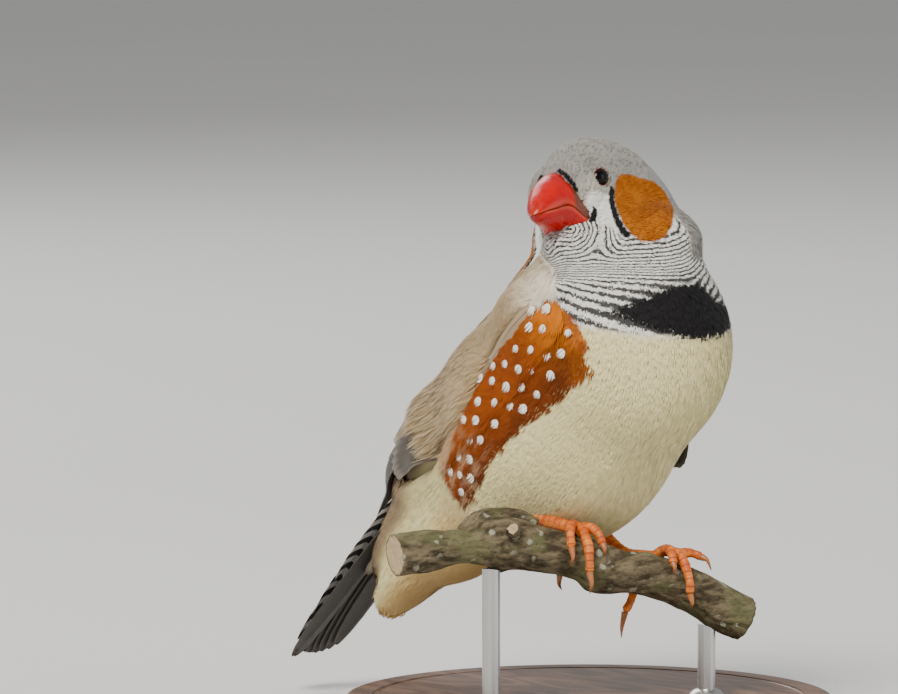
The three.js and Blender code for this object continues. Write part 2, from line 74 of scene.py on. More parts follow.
def smoothRow(rows, place):
    # as readRow, but a cubic between rows, its slopes taken from the neighbours
    rows = np.array(rows, float)
    x, y = rows[:, 0], rows[:, 1:]
    slope = np.gradient(y, x, axis=0)
    place = np.clip(np.asarray(place, float), x[0], x[-1])
    i = np.clip(np.searchsorted(x, place) - 1, 0, len(x) - 2)
    wide = (x[i + 1] - x[i])[..., None]
    t = (place - x[i])[..., None] / wide
    return ((2 * t**3 - 3 * t**2 + 1) * y[i] + (t**3 - 2 * t**2 + t) * wide * slope[i]
            + (3 * t**2 - 2 * t**3) * y[i + 1] + (t**3 - t**2) * wide * slope[i + 1])

def smoothPath(points, count):
    # a smooth curve through a few points, as many evenly shared points
    points = np.array(points, float)
    rows = np.c_[np.arange(len(points)), points]
    return smoothRow(rows, np.linspace(0, len(points) - 1, count))

def onceRound(count):
    return np.linspace(0, 2 * np.pi, count, endpoint=False)

def waves(points, scale, seed, octaves=3):
    # soft noise from -1 to 1: sums of sines in directions drawn once from the seed
    dice = np.random.default_rng(seed)
    total, weight = 0, 0
    for octave in range(octaves):
        for _ in range(4):
            way = unit(dice.normal(size=3)) * scale * 2**octave
            total = total + np.sin(points @ way + dice.uniform(0, 6.3)) * 0.5**octave
            weight += 0.5**octave
    return total / weight * 1.6


# Frames of trunk, neck, head and tail: an origin and three unit vectors
def slopedFrame(x, y, z, slope):
    s = np.radians(slope)
    return dict(origin=perchMiddle + [x, y, z], along=np.array([0, np.cos(s), -np.sin(s)]),
                side=np.array([1.0, 0, 0]), rise=np.array([0, np.sin(s), np.cos(s)]))

# the head sits high on the neck and looks over the right shoulder
headPose = dict(at=[-6.05, 7.1, 51.8], turn=-77.5, roll=-17.4)

def headFrame():
    t, r = np.radians(headPose["turn"]), np.radians(headPose["roll"])
    about = np.array([[np.cos(t), -np.sin(t), 0], [np.sin(t), np.cos(t), 0], [0, 0, 1]])
    pose = about @ np.array([[np.cos(r), 0, np.sin(r)], [0, 1, 0], [-np.sin(r), 0, np.cos(r)]])
    return dict(origin=perchMiddle + headPose["at"], along=pose @ [0, -1.0, 0], side=pose @ [1.0, 0, 0],
                rise=pose @ [0, 0, 1.0])

trunk = slopedFrame(0, 4, 32.5, 44)
tailFrame = slopedFrame(0, 36.3, 12.1, 48)
neck = dict(slopedFrame(0.3, 5, 43.5, 0), along=np.array([0, -1.0, 0]))
head = headFrame()

def place(axes, along, side, rise):
    along, side, rise = (np.asarray(value, float)[..., None] for value in (along, side, rise))
    return axes["origin"] + axes["along"] * along + axes["side"] * side + axes["rise"] * rise

def within(axes, points):
    away = points - axes["origin"]
    return away @ axes["along"], away @ axes["side"], away @ axes["rise"]

def spineAngle(points):
    # place along the trunk, and degrees round it from the spine, alike on both sides
    along, side, rise = within(trunk, points)
    return along, np.degrees(np.arctan2(np.abs(side), rise))

def roundTrunk(angle, sign):
    # the way out of the trunk at an angle from the spine, on one side
    turned = np.radians(angle)
    return trunk["rise"] * np.cos(turned)[:, None] + trunk["side"] * (sign * np.sin(turned))[:, None]


# The plumage's outer surface is the smooth union of ellipsoids: [along, side, rise, long, wide, deep]
body = dict(
    sharpness=1.1,
    trunk=[[1.2, 0, -1.7, 15.8, 14.3, 15.7], [15, 0, -1.8, 19.4, 13.5, 17.3], [25, 0, -3.1, 13, 11, 11.1],
           [29.2, 0, 6.4, 16.1, 9.8, 8.3], [36.5, 0, -1.6, 12.6, 7.3, 6.8], [45, 0, 3.6, 11, 5.4, 4.6],
           [2.1, 6.6, 1.9, 12.1, 7.6, 9.9], [14, 5.8, -6, 13, 7.6, 7.4], [47, 0, -0.4, 12.3, 5.1, 3.4]],
    neck=[[1.4, 0, 1.2, 10.7, 10.8, 5.7], [3, 0, -3.2, 6.8, 8.9, 6]],
    head=[[-5, 0, -0.5, 7.8, 6.3, 6.9], [-4.9, 3.9, -5.2, 4.7, 3, 4.3], [3.2, 0, -7.4, 4.4, 3.1, 3.1],
          [2.5, 0, -0.8, 2.8, 5.1, 4.5], [-8.6, 0, -1, 5.1, 6.7, 5.8], [-10.4, 0, -3.6, 5.4, 7, 5.7],
          [-11.7, 0, -5.2, 4.8, 7.3, 5.4]],
    core=[[0, 0, 34, 7, 44], [0.25, 0, 22, 16.5, 44], [0.5, 0, 8.5, 28, 50], [0.66, -0.5, 5.4, 36, 64],
          [0.8, -1.2, 6.4, 42.4, 88], [1, -0.8, 8, 50, 102]],  # share, x, y, z from the perch, facing
)

def ellipsoids():
    centres, turns, radii = [], [], []
    for axes, rows in ((trunk, body["trunk"]), (neck, body["neck"]), (head, body["head"])):
        for along, side, rise, *sizes in rows:
            for flip in ([0] if side == 0 else [-1, 1]):
                centres.append(place(axes, along, side * flip, rise))
                turns.append([axes["along"], axes["side"], axes["rise"]])
                radii.append(sizes)
    radii = np.array(radii)
    return np.array(centres), np.array(turns), radii, np.cbrt(radii.prod(1))

forms = ellipsoids()

def plumage(points, wantSlope=False):
    # distance, about, outside the plumage: minus the log of the summed exponentials of the ellipsoids
    centres, turns, radii, sizes = forms
    values, slopes = [], []
    for part in np.array_split(points, max(1, len(points) // 20000)):
        local = np.einsum("nij,mnj->mni", turns, part[:, None] - centres) / radii
        far = np.maximum(np.linalg.norm(local, axis=2), 1e-6)
        weight = np.exp(-body["sharpness"] * (far - 1) * sizes)
        total = weight.sum(1)
        values.append(-np.log(total) / body["sharpness"])
        if wantSlope:
            pull = (weight * sizes / far / total[:, None])[..., None] * local / radii
            slopes.append(np.einsum("mni,nij->mj", pull, turns))
    return (np.concatenate(values), np.concatenate(slopes)) if wantSlope else np.concatenate(values)


# Wings lie sunk in a shallow bed between an upper and a lower edge
wing = dict(
    # along, and degrees from the spine to the upper and the lower edge
    edges=[[-6, 60, 76], [-2, 50, 86], [6, 40, 90], [16, 33, 88], [26, 26, 78], [34, 20, 64], [40, 16, 44]],
    bedDeep=2, bedFade=(14, 12),  # degrees over which the bed ends above and below
    axis=[[-6, 0], [20, 0], [52, 3.2]],  # along, rise of the line that the wing's sheet is wrapped round
    taper=[[20, 0], [32, 10.5], [40, 8.2], [52, 4.6]],  # along, least distance of the sheet from that line
    tuck=1.3,  # how far the lower edge dips under the flank
    # droop in degrees and lift in mm where the wing hangs lowest
    right=dict(sign=-1, droop=0, lift=0),
    left=dict(sign=1, droop=44, lift=2.5),
)
longestRay = 40.0
halvings = 18

def bedDepth(points):
    # deepest at the shoulder and low on the side, half as deep over the back
    along, angle = spineAngle(points)
    edges = readRow(wing["edges"], along)
    above, below = wing["bedFade"]
    inside = ease((angle - edges[..., 0] + above) / above) * ease((edges[..., 1] + below - angle) / below)
    lengthwise = ease((along + 9) / 6) * ease((44 - along) / 10)
    most = np.maximum(0.5, np.maximum(ease((4 - along) / 8), ease((angle - 55) / 25) * 0.8))
    return wing["bedDeep"] * inside * lengthwise * most

def rayTo(origins, ways, level):
    # how far each ray goes to where the level function turns positive, by halving
    near, far = np.zeros(len(origins)), np.full(len(origins), longestRay)
    for _ in range(halvings):
        middle = (near + far) / 2
        inside = level(origins + ways * middle[:, None]) < 0
        near, far = np.where(inside, middle, near), np.where(inside, far, middle)
    return near

def toLevel(points, level):
    # moves points along the slope of the plumage's distance until it is the level
    for _ in range(3):
        value, slope = plumage(points, True)
        points = points - slope * ((value - level) / np.maximum((slope**2).sum(1), 0.05))[:, None]
    return points, unit(slope)

def drooping(along, angle):
    # 1 where a wing that hangs loose hangs lowest, 0 at its front, its tip and its upper half
    return bell((along - 16.5) / 10) * ease((angle - 50) / 45)

def droopedEdge(side, along):
    low = readRow(wing["edges"], along)[:, 1]
    return low + side["droop"] * drooping(along, low)

def sheetPoint(side, along, angle, out):
    # a wing lies on a sheet wrapped round the trunk: ray from the wing's axis to the plumage, and out
    shape = along.shape
    along, angle = along.ravel(), angle.ravel()
    lowered = drooping(along, angle)
    origin = place(trunk, along, 0, readValue(wing["axis"], along))
    way = roundTrunk(angle + side["droop"] * lowered, side["sign"])
    reach = rayTo(origin, way, lambda p: plumage(p) + bedDepth(p))
    radius = np.maximum(reach, readValue(wing["taper"], along))
    tucked = ease((angle - readRow(wing["edges"], along)[..., 1] + 6) / 9) * ease((34 - along) / 8)
    out = np.broadcast_to(out, shape).ravel() - wing["tuck"] * tucked * (1 - lowered * (side["droop"] > 0))
    return (origin + way * (radius + out + side["lift"] * lowered)[:, None]).reshape(shape + (3,))


# Markings. Each is a smooth value at a point of skin or coat, about a distance in mm, positive within the
# marking, so that the material can cut its edge crisply.
marks = dict(
    # the cheek is a rounded polygon on a plane against the head: x runs down and back, y towards the bill
    cheekPlane=dict(middle=[-2.2, 8.3, -5.2], x=[0.758, 0.201, -0.621], y=[0.613, -0.547, 0.571]),
    cheek=[(-4.1, 4.5), (-8.3, -3.3), (-7.1, -5.3), (5.5, -3.7), (7.3, -0.4), (5.5, 2.6)],
    malar=[(-1.0, 4.6), (0.3, 1.5), (6.4, 0.6), (7.3, 1.5), (2.0, 8.4)],
    border=0.8,  # width of the black line before the cheek
    # lines on the face: half width, then places as along, side and rise on the head
    tear=(0.46, [3.25, 4.3, -4.0], [3.5, 4.25, -4.6], [3.95, 4.1, -5.25]),
    lore=(0.36, [4.5, 1.4, 2.3], [4.7, 2.4, 1.2], [4.76, 3.1, -0.1], [4.74, 3.2, -1.1]),
    loreEnd=(0.17, [4.74, 3.2, -1.1], [4.68, 3.05, -2.2], [4.3, 3.3, -3.1]),
    tearDrop=(0.42, [3.69, 3.9, -3.72], [3.7, 3.95, -3.8]),  # white, over the tear
    chin=([6.3, 0, -5.6], [6.3, 1.7, -5.75]), behindEye=[-1.6, 4.6, -1.4],
    bandHigh=36.0, bandHalf=3.7, bandWide=11.6,
    # rufous flank: upper and lower edge, as places along the trunk and degrees from the spine
    flankTop=[[-4.7, 92], [-4.4, 84], [-3.9, 77], [-2.9, 72], [-1.6, 68], [6, 67.5], [12.5, 64.5], [15, 67],
              [18, 73], [23, 79], [29, 86]],
    flankLow=[[-4.7, 98], [-4, 112], [4, 113], [16, 107], [29, 111]],
)
barring = dict(
    ringPitch=0.56, ringStart=13.4, ringsEnd=(2.5, 5),  # rings round the chin end over 5 mm from 2.5 mm out
    source=[-12.8, 4.3, 44.1], towards=[-0.68, 0.70, -0.22], shares=(0.51, 0.49), rate=4.5, low=33,
)
unmarked = -3  # a value well outside a marking
mmPerDegree = 0.24  # round the flank
tones = dict(
    headGrey=(0.3, 0.29, 0.262), napeGrey=(0.26, 0.272, 0.268), face=(0.52, 0.5, 0.42),
    eyeShade=(0.2, 0.14, 0.085), throat=(0.8, 0.79, 0.74), shoulder=(0.7, 0.63, 0.5),
    # belly: its own cream, made yellower and greener by painted green light reflected from leaves
    mantle=(0.33, 0.24, 0.115), rump=(0.28, 0.2, 0.12), belly=(0.78, 0.69, 0.36), vent=(0.66, 0.42, 0.15),
)

def over(under, colour, share):
    return mix(under, np.array(colour), np.clip(share, 0, 1)[:, None])

def insidePolygon(x, y, corners, sharpness):
    # soft minimum of the distances to the polygon's sides, positive inside
    corners = np.array(corners, float)
    total = 0
    for here, there in zip(corners, np.roll(corners, -1, 0)):
        way = unit(there - here)
        total = total + np.exp(-sharpness * (way[0] * (y - here[1]) - way[1] * (x - here[0])))
    return -np.log(total) / sharpness

def lineDistance(points, path):
    # how far points are from a line of straight pieces
    nearest = np.inf
    for here, there in zip(np.array(path[:-1], float), np.array(path[1:], float)):
        way = there - here
        t = np.clip((points - here) @ way / (way @ way), 0, 1)
        nearest = np.minimum(nearest, np.linalg.norm(points - here - t[:, None] * way, axis=1))
    return nearest

def lineMark(points, key):
    half, *path = marks[key]
    return half - lineDistance(points, path)

def flankEdges(along):
    return (readValue(marks[key], along) for key in ("flankTop", "flankLow"))

def barPhase(rel, ringFar):
    # dark at whole numbers. Rings at equal steps round the chin pass into bars, whose phase is the log of
    # a distance: a share of the way from the source, and a share of the way towards the breast
    x, _, z = rel.T
    away, ahead = barring["shares"]
    fromSource = np.sqrt(((rel - barring["source"])**2).sum(1) + 2.5)
    drift = away * fromSource + ahead * rel @ unit(np.array(barring["towards"]))
    bars = barring["rate"] * np.log(np.maximum(drift - 0.95, 1.15)) + 9 * np.minimum(drift - 2.1, 0)
    bars = bars + 0.42 * np.maximum(0, 42 - z) * ease((x + 1) / 5)  # closer together on the left
    bars = bars - 0.7 * np.maximum(0, z - 40) * ease((ringFar - 3) / 3)  # shifted up the neck's side
    start, width = barring["ringsEnd"]
    return mix(ringFar / barring["ringPitch"] - barring["ringStart"], bars, ease((ringFar - start) / width))

def barZone(rel, along, rise):
    # rings and bars show above the belly, on the neck's front, below the face and before the nape
    x, y, z = rel.T
    overBelly = z - barring["low"] - 0.25 * np.maximum(0, np.abs(x) - 9)
    neckFront = 2.6 + 0.5 * (z - 37) + 5 * ease((z - 41.5) / 3) - y
    belowFace = -5.4 - rise + 0.5 * np.maximum(0, along - 3) - 2 * ease((-1 - along) / 2)
    beforeNape = along + 4.8 + 12 * ease((42.8 - z) / 1.4)
    return np.minimum.reduce([overBelly, neckFront, belowFace, beforeNape])

def breastBand(rel):
    # tallest in the middle; its upper edge sinks on the left
    x, y, z = rel.T
    band = marks["bandHalf"] * (1 - (np.abs(x) / marks["bandWide"])**2.2) - np.abs(z - marks["bandHigh"])
    band = band - 2.6 * ease(x / 5) * ease((z - marks["bandHigh"] + 2) / 3)
    return np.where(y > 0, unmarked, band)

def faceMarks(folded):
    # orange cheek, white malar, and the black lines of the border, the tear and the lore
    plane = marks["cheekPlane"]
    cx, cy = ((folded - plane["middle"]) @ np.array(plane[way]) for way in ("x", "y"))
    cheek = insidePolygon(cx, cy, marks["cheek"], 1.5)
    drop = lineMark(folded, "tearDrop")
    malar = np.maximum(np.minimum(insidePolygon(cx, cy, marks["malar"], 3), -cheek), drop)
    half = marks["border"] / 2
    border = np.minimum.reduce([half - np.abs(cheek + half - 0.05), cy - 1.2, cx + 1.9])
    dark = np.maximum.reduce([border] + [lineMark(folded, key) for key in ("tear", "lore", "loreEnd")])
    return cheek, malar, np.minimum(dark, -drop)

def grounds(points, folded, zone, cheek):
    # grounds softly laid over one another, and last how many dark specks the crown shows
    y, z = (points - perchMiddle).T[1:]
    along, _, rise = folded.T
    trunkAlong, angle = spineAngle(points)
    onHead = np.maximum(ease((rise + 5.6) / 1.2) * ease((z - 44) / 3), ease((-4 - along) / 1.5))
    backOfNeck = ease((y + 5) / 5)
    onHead = onHead * ease((z - 40 + 4.5 * backOfNeck) / (2 + 6 * backOfNeck))
    face = ease((along + 1.6) / 3) * ease((1.5 - rise) / 2.5) * ease((rise + 6) / 1.5) * onHead
    behindEye = np.linalg.norm(folded - marks["behindEye"], axis=1)
    colour = np.broadcast_to(np.array(tones["belly"]), points.shape)
    for tone, share in (
            ("vent", ease((trunkAlong - 24) / 16) * 0.75 * ease((angle - 80) / 40)),
            ("shoulder", ease((104 - angle) / 22) * ease((z - 22) / 8)),
            ("mantle", ease((66 - angle) / 26) * ease((trunkAlong + 12) / 6)),
            ("rump", ease((trunkAlong - 26) / 6) * ease((64 - angle) / 20)),
            ("throat", ease(zone / 1.5 + 0.5)),
            ("headGrey", onHead * (1 - ease(zone / 0.6))),
            ("napeGrey", onHead * ease((-8.5 - along) / 3) * (1 - ease(zone / 0.6))),
            ("face", face * 0.8),
            ("eyeShade", 0.6 * bell(behindEye / 1.1) * (cheek < 0.3))):
        colour = over(colour, tones[tone], share)
    specks = onHead * np.maximum(ease((rise + 1.5) / 3), 0.5 * ease((rise + 3.6) / 2) * ease(along / 3))
    return np.c_[colour, specks]

def markings(points):
    # read on the plumage's outer surface, so that a feather is marked alike through its depth
    value, slope = plumage(points, True)
    points = points - slope * (value / np.maximum((slope**2).sum(1), 0.1))[:, None]
    rel = points - perchMiddle
    along, side, rise = within(head, points)
    folded = np.stack([along, np.abs(side), rise], -1)  # one side's marks serve for both
    zone = barZone(rel, along, rise)
    phase = barPhase(rel, lineDistance(folded, marks["chin"]))
    cheek, malar, dark = faceMarks(folded)
    # the flank's edges, from degrees to mm round the trunk
    trunkAlong, angle = spineAngle(points)
    top, low = flankEdges(trunkAlong)
    flank = np.minimum.reduce([trunkAlong + 4.8, 28.5 - trunkAlong, (angle - top) * mmPerDegree,
                               (low - angle) * mmPerDegree])
    return dict(ground=grounds(points, folded, zone, cheek),
                marks=np.stack([phase, zone, breastBand(rel)], -1),
                face=np.stack([cheek, malar, dark], -1), flank=flank)


# Meshes from arrays
def addMesh(name, points, faces, material, attributes=None, uv=None, *, replaced=(), smooth=True):
    # points in mm; faces is an array of triangles or quads; attributes are per point
    mesh = bpy.data.meshes.new(name)
    faces = np.asarray(faces, np.int32)
    count, corners = faces.shape
    mesh.vertices.add(len(points))
    mesh.vertices.foreach_set("co", (np.asarray(points) * mm).astype(np.float32).ravel())
    mesh.loops.add(count * corners)
    mesh.loops.foreach_set("vertex_index", faces.ravel())
    mesh.polygons.add(count)
    mesh.polygons.foreach_set("loop_start", np.arange(0, count * corners, corners, dtype=np.int32))
    mesh.update(calc_edges=True)
    if uv is not None:
        layer = mesh.uv_layers.new(name="OFBake")
        layer.data.foreach_set("uv", np.asarray(uv, np.float32)[faces.ravel()].ravel())
    for key, value in (attributes or {}).items():
        value = np.asarray(value, np.float32)
        kind = "FLOAT" if value.ndim == 1 else {3: "FLOAT_VECTOR", 4: "FLOAT_COLOR"}[value.shape[1]]
        field = {"FLOAT": "value", "FLOAT_VECTOR": "vector", "FLOAT_COLOR": "color"}[kind]
        mesh.attributes.new(key, kind, "POINT").data.foreach_set(field, value.ravel())
    mesh.polygons.foreach_set("use_smooth", np.full(count, smooth))
    mesh.materials.append(material)
    mesh.validate()
    made = bpy.data.objects.new(name, mesh)
    bpy.context.scene.collection.objects.link(made)
    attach(made, "root")
    if replaced:
        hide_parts(*replaced)

def ringFaces(rows, around):
    # quads of a tube of rings that closes on itself
    i, j = np.meshgrid(np.arange(rows - 1), np.arange(around), indexing="ij")
    a, b = i * around + j, i * around + (j + 1) % around
    return np.stack([a, b, b + around, a + around], -1).reshape(-1, 4)

def closedTube(rings):
    # rings (rows, around, 3), closed by a point in the middle of each end, as triangles
    rows, around = rings.shape[:2]
    points = np.concatenate([rings.reshape(-1, 3), rings[:1].mean(1), rings[-1:].mean(1)])
    quads = ringFaces(rows, around)
    j = np.arange(around)
    first = np.stack([np.full(around, rows * around), (j + 1) % around, j], -1)
    base = (rows - 1) * around
    last = np.stack([np.full(around, rows * around + 1), base + j, base + (j + 1) % around], -1)
    return points, np.concatenate([quads[:, [0, 1, 2]], quads[:, [0, 2, 3]], first, last])

def turnedOut(points, faces):
    # flips the faces of a closed surface if they enclose a negative volume
    a, b, c = (points[faces[:, k]] for k in range(3))
    return faces if np.einsum("ij,ij->i", a, np.cross(b, c)).sum() > 0 else faces[:, [0, 2, 1]]

def joinAll(parts):
    # parts are (points, faces, {attribute: values}); the result is one of the same
    points, faces, start = [], [], 0
    for p, f, _ in parts:
        points.append(p)
        faces.append(f + start)
        start += len(p)
    info = {key: np.concatenate([values[key] for *_, values in parts]) for key in parts[0][2]}
    return np.concatenate(points), np.concatenate(faces), info


# Node materials
def newMaterial(name):
    material = bpy.data.materials.new(name)
    material.use_nodes = True
    material.node_tree.nodes.clear()
    return material, material.node_tree

def put(tree, kind, sockets=None, **settings):
    made = tree.nodes.new("ShaderNode" + kind)
    for key, value in settings.items():
        setattr(made, key, value)
    for key, value in (sockets or {}).items():
        if isinstance(value, bpy.types.NodeSocket):
            tree.links.new(value, made.inputs[key])
        elif isinstance(value, tuple) and made.inputs[key].type == "RGBA":
            made.inputs[key].default_value = (*value[:3], 1)
        else:
            made.inputs[key].default_value = value
    return made

def calc(tree, operation, a, b=0.0):
    return put(tree, "Math", {0: a, 1: b}, operation=operation).outputs[0]

def plus(tree, a, b):
    return calc(tree, "ADD", a, b)

def minus(tree, a, b):
    return calc(tree, "SUBTRACT", a, b)

def times(tree, a, b):
    return calc(tree, "MULTIPLY", a, b)

def zigzag(tree, value):
    # up from 0 at whole numbers to 1 halfway between them
    return times(tree, calc(tree, "PINGPONG", value, 0.5), 2.0)

def blend(tree, share, a, b, kind="MIX"):
    return put(tree, "Mix", {0: share, 6: a, 7: b}, data_type="RGBA", blend_type=kind).outputs[2]

def cut(tree, value, low, high, fromTo=(0.0, 1.0)):
    return put(tree, "MapRange", {0: value, 1: low, 2: high, 3: fromTo[0], 4: fromTo[1]},
               interpolation_type="SMOOTHSTEP").outputs[0]

def shade(tree, colour, light):
    # a colour times one number
    grey = put(tree, "CombineColor", {0: light, 1: light, 2: light}).outputs[0]
    return blend(tree, 1.0, colour, grey, "MULTIPLY")

def attribute(tree, name):
    return put(tree, "Attribute", attribute_name=name).outputs

def split(tree, vector):
    return put(tree, "SeparateXYZ", {0: vector}).outputs

def stored(tree, name):
    # the three numbers of a vector attribute
    return split(tree, attribute(tree, name)["Vector"])

def objectCoords(tree, stretch=(1, 1, 1)):
    coords = put(tree, "TexCoord").outputs["Object"]
    return put(tree, "Mapping", {"Vector": coords, "Scale": stretch}).outputs[0]

def noise(tree, coords, scale, detail=2.0, rough=0.5):
    sockets = {"Vector": coords, "Scale": scale, "Detail": detail, "Roughness": rough}
    return put(tree, "TexNoise", sockets).outputs[0]

def cellNoise(tree, coords, scale):
    # distance from the middle of the nearest of many small cells
    return put(tree, "TexVoronoi", {"Vector": coords, "Scale": scale}).outputs["Distance"]

def finishMaterial(tree, colour, roughness, height=None, bumpDistance=0.0001, strength=0.6, **fixed):
    # one Principled shader; its fixed values are set on its own sockets
    shader = put(tree, "BsdfPrincipled", {"Base Color": colour, "Roughness": roughness})
    for key, value in fixed.items():
        shader.inputs[key.replace("_", " ")].default_value = value
    if height is not None:
        bump = put(tree, "Bump", {"Height": height, "Distance": bumpDistance, "Strength": strength})
        tree.links.new(bump.outputs[0], shader.inputs["Normal"])
    put(tree, "OutputMaterial", {0: shader.outputs[0]})

inks = dict(
    speck=(0.06, 0.056, 0.055), bar=(0.014, 0.013, 0.014), band=(0.012, 0.011, 0.012),
    line=(0.012, 0.012, 0.014), malar=(0.86, 0.85, 0.8),
    rufous=((0.26, 0.052, 0.008), (0.5, 0.145, 0.014)), cheek=((0.3, 0.078, 0.003), (0.4, 0.118, 0.004)),
)

def plumageMaterial(name, shadeFactor=1.0):
    # ground colour, then bars, band, malar, cheek, flank and black lines, each cut from its own distance
    material, tree = newMaterial(name)
    ground = attribute(tree, "ground")
    phase, zone, band = stored(tree, "marks")
    cheek, malar, dark = stored(tree, "face")
    share, dice, flank = stored(tree, "tuft")
    coords = objectCoords(tree)
    fine = minus(tree, noise(tree, coords, 2600, 2), 0.5)
    broad = noise(tree, coords, 420, 3)
    jitter = minus(tree, dice, 0.5)
    colour = blend(tree, times(tree, ground["Alpha"], 0.8), ground["Color"], inks["speck"])
    # bars: a triangle wave of the phase, dark below a share that widens towards the band
    phase = plus(tree, phase, times(tree, fine, 0.5))
    phase = plus(tree, phase, times(tree, jitter, 0.42))
    darkShare = plus(tree, 0.4, cut(tree, band, -2.4, 0.2, (0.0, 0.25)))
    wave = minus(tree, darkShare, zigzag(tree, phase))
    bars = times(tree, cut(tree, wave, -0.08, 0.1), cut(tree, zone, -0.2, 0.5))
    colour = blend(tree, times(tree, bars, 0.93), colour, inks["bar"])
    # the other markings' edges are ragged by noise and by the tuft
    ragged = plus(tree, times(tree, fine, 1.1), times(tree, jitter, 0.5))
    soft = times(tree, ragged, 0.4)
    streaky = plus(tree, band, times(tree, ragged, 1.8))
    colour = blend(tree, cut(tree, streaky, -0.2, 0.3), colour, inks["band"])
    rufous = blend(tree, cut(tree, broad, 0.35, 0.65), *inks["rufous"])
    colour = blend(tree, cut(tree, plus(tree, flank, ragged), -0.3, 0.45), colour, rufous)
    colour = blend(tree, cut(tree, plus(tree, malar, soft), -0.1, 0.35), colour, inks["malar"])
    orange = blend(tree, cut(tree, broad, 0.35, 0.68), *inks["cheek"])
    colour = blend(tree, cut(tree, plus(tree, cheek, soft), -0.12, 0.25), colour, orange)
    colour = blend(tree, cut(tree, plus(tree, dark, soft), -0.1, 0.12), colour, inks["line"])
    # each tuft a little lighter or darker at random, and darker towards its root: painted shade under the
    # tufts that lie over it
    # a factor below 1 darkens the whole material: painted shade on the skin that lies under the coat
    light = plus(tree, 0.97 * shadeFactor, times(tree, jitter, 0.14))
    light = times(tree, light, cut(tree, share, -0.05, 0.4, (0.91, 1.01)))
    colour = shade(tree, colour, light)
    finishMaterial(tree, colour, 0.72, Sheen_Weight=0.05, Sheen_Roughness=0.5, Specular_IOR_Level=0.12)
    return material

print("measures and markings ready")


# Skin: a grid round the core line, from the rump's pole to the crown's, at the coat's depth under the plumage
skin = dict(around=150, rows=190, rumpShare=0.12, crownShare=0.85, depth=1.25, faceDepth=0.55)

def headFar(points):
    # distance from a place behind the bill
    return np.linalg.norm(points - place(head, 3, 0, -2), axis=-1)

def coatDepth(points):
    # thin on the face, thicker on the trunk
    return mix(skin["faceDepth"], skin["depth"], ease((headFar(points) - 5) / 14))

def inset(uv):
    # keeps an unwrap clear of its map's edge
    return uv * 0.98 + 0.01

def skinPoint(u, v):
    # v from 0 to 1 runs from rump to crown, u once round; rays leave the core line and lean at its ends
    low, high = skin["rumpShare"], skin["crownShare"]
    x, y, z, facing = readRow(body["core"], np.clip((v - low) / (high - low), 0, 1)).T
    lean = np.radians(np.where(v < low, -90 * (1 - v / low), np.maximum(0, 90 * (v - high) / (1 - high))))
    facing = np.radians(facing)
    normal = np.stack([0 * facing, -np.cos(facing), np.sin(facing)], -1)
    rise = -np.cross(normal, [1.0, 0, 0])
    turn = 2 * np.pi * u
    way = np.array([1.0, 0, 0]) * np.sin(turn)[:, None] + rise * np.cos(turn)[:, None]
    way = way * np.cos(lean)[:, None] + normal * np.sin(lean)[:, None]
    origin = perchMiddle + np.stack([x, y, z], -1)
    reach = rayTo(origin, way, lambda p: plumage(p) + bedDepth(p) + coatDepth(p))
    return origin + way * reach[:, None]

def buildSkin(material):
    rows, around = skin["rows"], skin["around"]
    v, u = np.meshgrid(np.linspace(0, 1, rows + 2)[1:-1], np.arange(around) / around, indexing="ij")
    rings = skinPoint(u.ravel(), v.ravel()).reshape(rows, around, 3)
    points, faces = closedTube(rings)
    points[-2:] = skinPoint(np.array([0.0, 0.0]), np.array([0.0, 1.0]))  # the poles
    info = markings(points)
    tuft = np.stack([np.full(len(points), 0.3), np.full(len(points), 0.5), info.pop("flank")], -1)
    info["ground"][:, 3] = 0
    uv = inset(np.concatenate([np.c_[u.ravel(), v.ravel()], [[0.5, 0.0], [0.5, 1.0]]]))
    addMesh("bodySkin", points, turnedOut(points, faces), material, dict(info, tuft=tuft), uv,
            replaced=("torso", "neck", "head"))
    return rings, np.stack([u, v], -1)


# Coat: tufts of barbs. Each follows three stations from its root under the skin's level to its tip.
def flowAt(points):
    # the way feathers lie: away from the bill on the head, down from the neck on the breast, then tailwards
    fromBill = unit(points - place(head, 9, 0, -2.5))
    fromNeck = unit(points - (perchMiddle + [0, 2, 50]))
    onTrunk = ease((within(trunk, points)[0] + 8) / 16)[:, None]
    lower = mix(fromNeck, trunk["along"], onTrunk)
    return unit(mix(fromBill, lower, ease((headFar(points)[:, None] - 11) / 9)))

def sampleSkin(rings, uv, perMm2, keep, seed):
    # roots drawn on the skin's quads, as many on each as its area times the density there
    dice = np.random.default_rng(seed)
    a, b = rings[:-1], rings[1:]
    c, d = np.roll(a, -1, 1), np.roll(b, -1, 1)
    middle = ((a + b + c + d) / 4).reshape(-1, 3)
    first, second = (np.linalg.norm(np.cross(c - corner, b - corner), axis=2) / 2 for corner in (a, d))
    wanted = (first + second).ravel() * perMm2(middle) * keep(middle)
    count = np.floor(wanted + dice.uniform(size=len(wanted))).astype(int)
    pick = np.repeat(np.arange(len(middle)), count)
    s, t = dice.uniform(size=(2, len(pick), 1))
    corners = [m.reshape(-1, 3)[pick] for m in (a, b, c, d)]
    points = (corners[0] * (1 - s) + corners[2] * s) * (1 - t) + (corners[1] * (1 - s) + corners[3] * s) * t
    cell = uv[:-1].reshape(-1, 2)[pick] + np.c_[s / rings.shape[1], t / rings.shape[0]]
    return points, inset(cell)

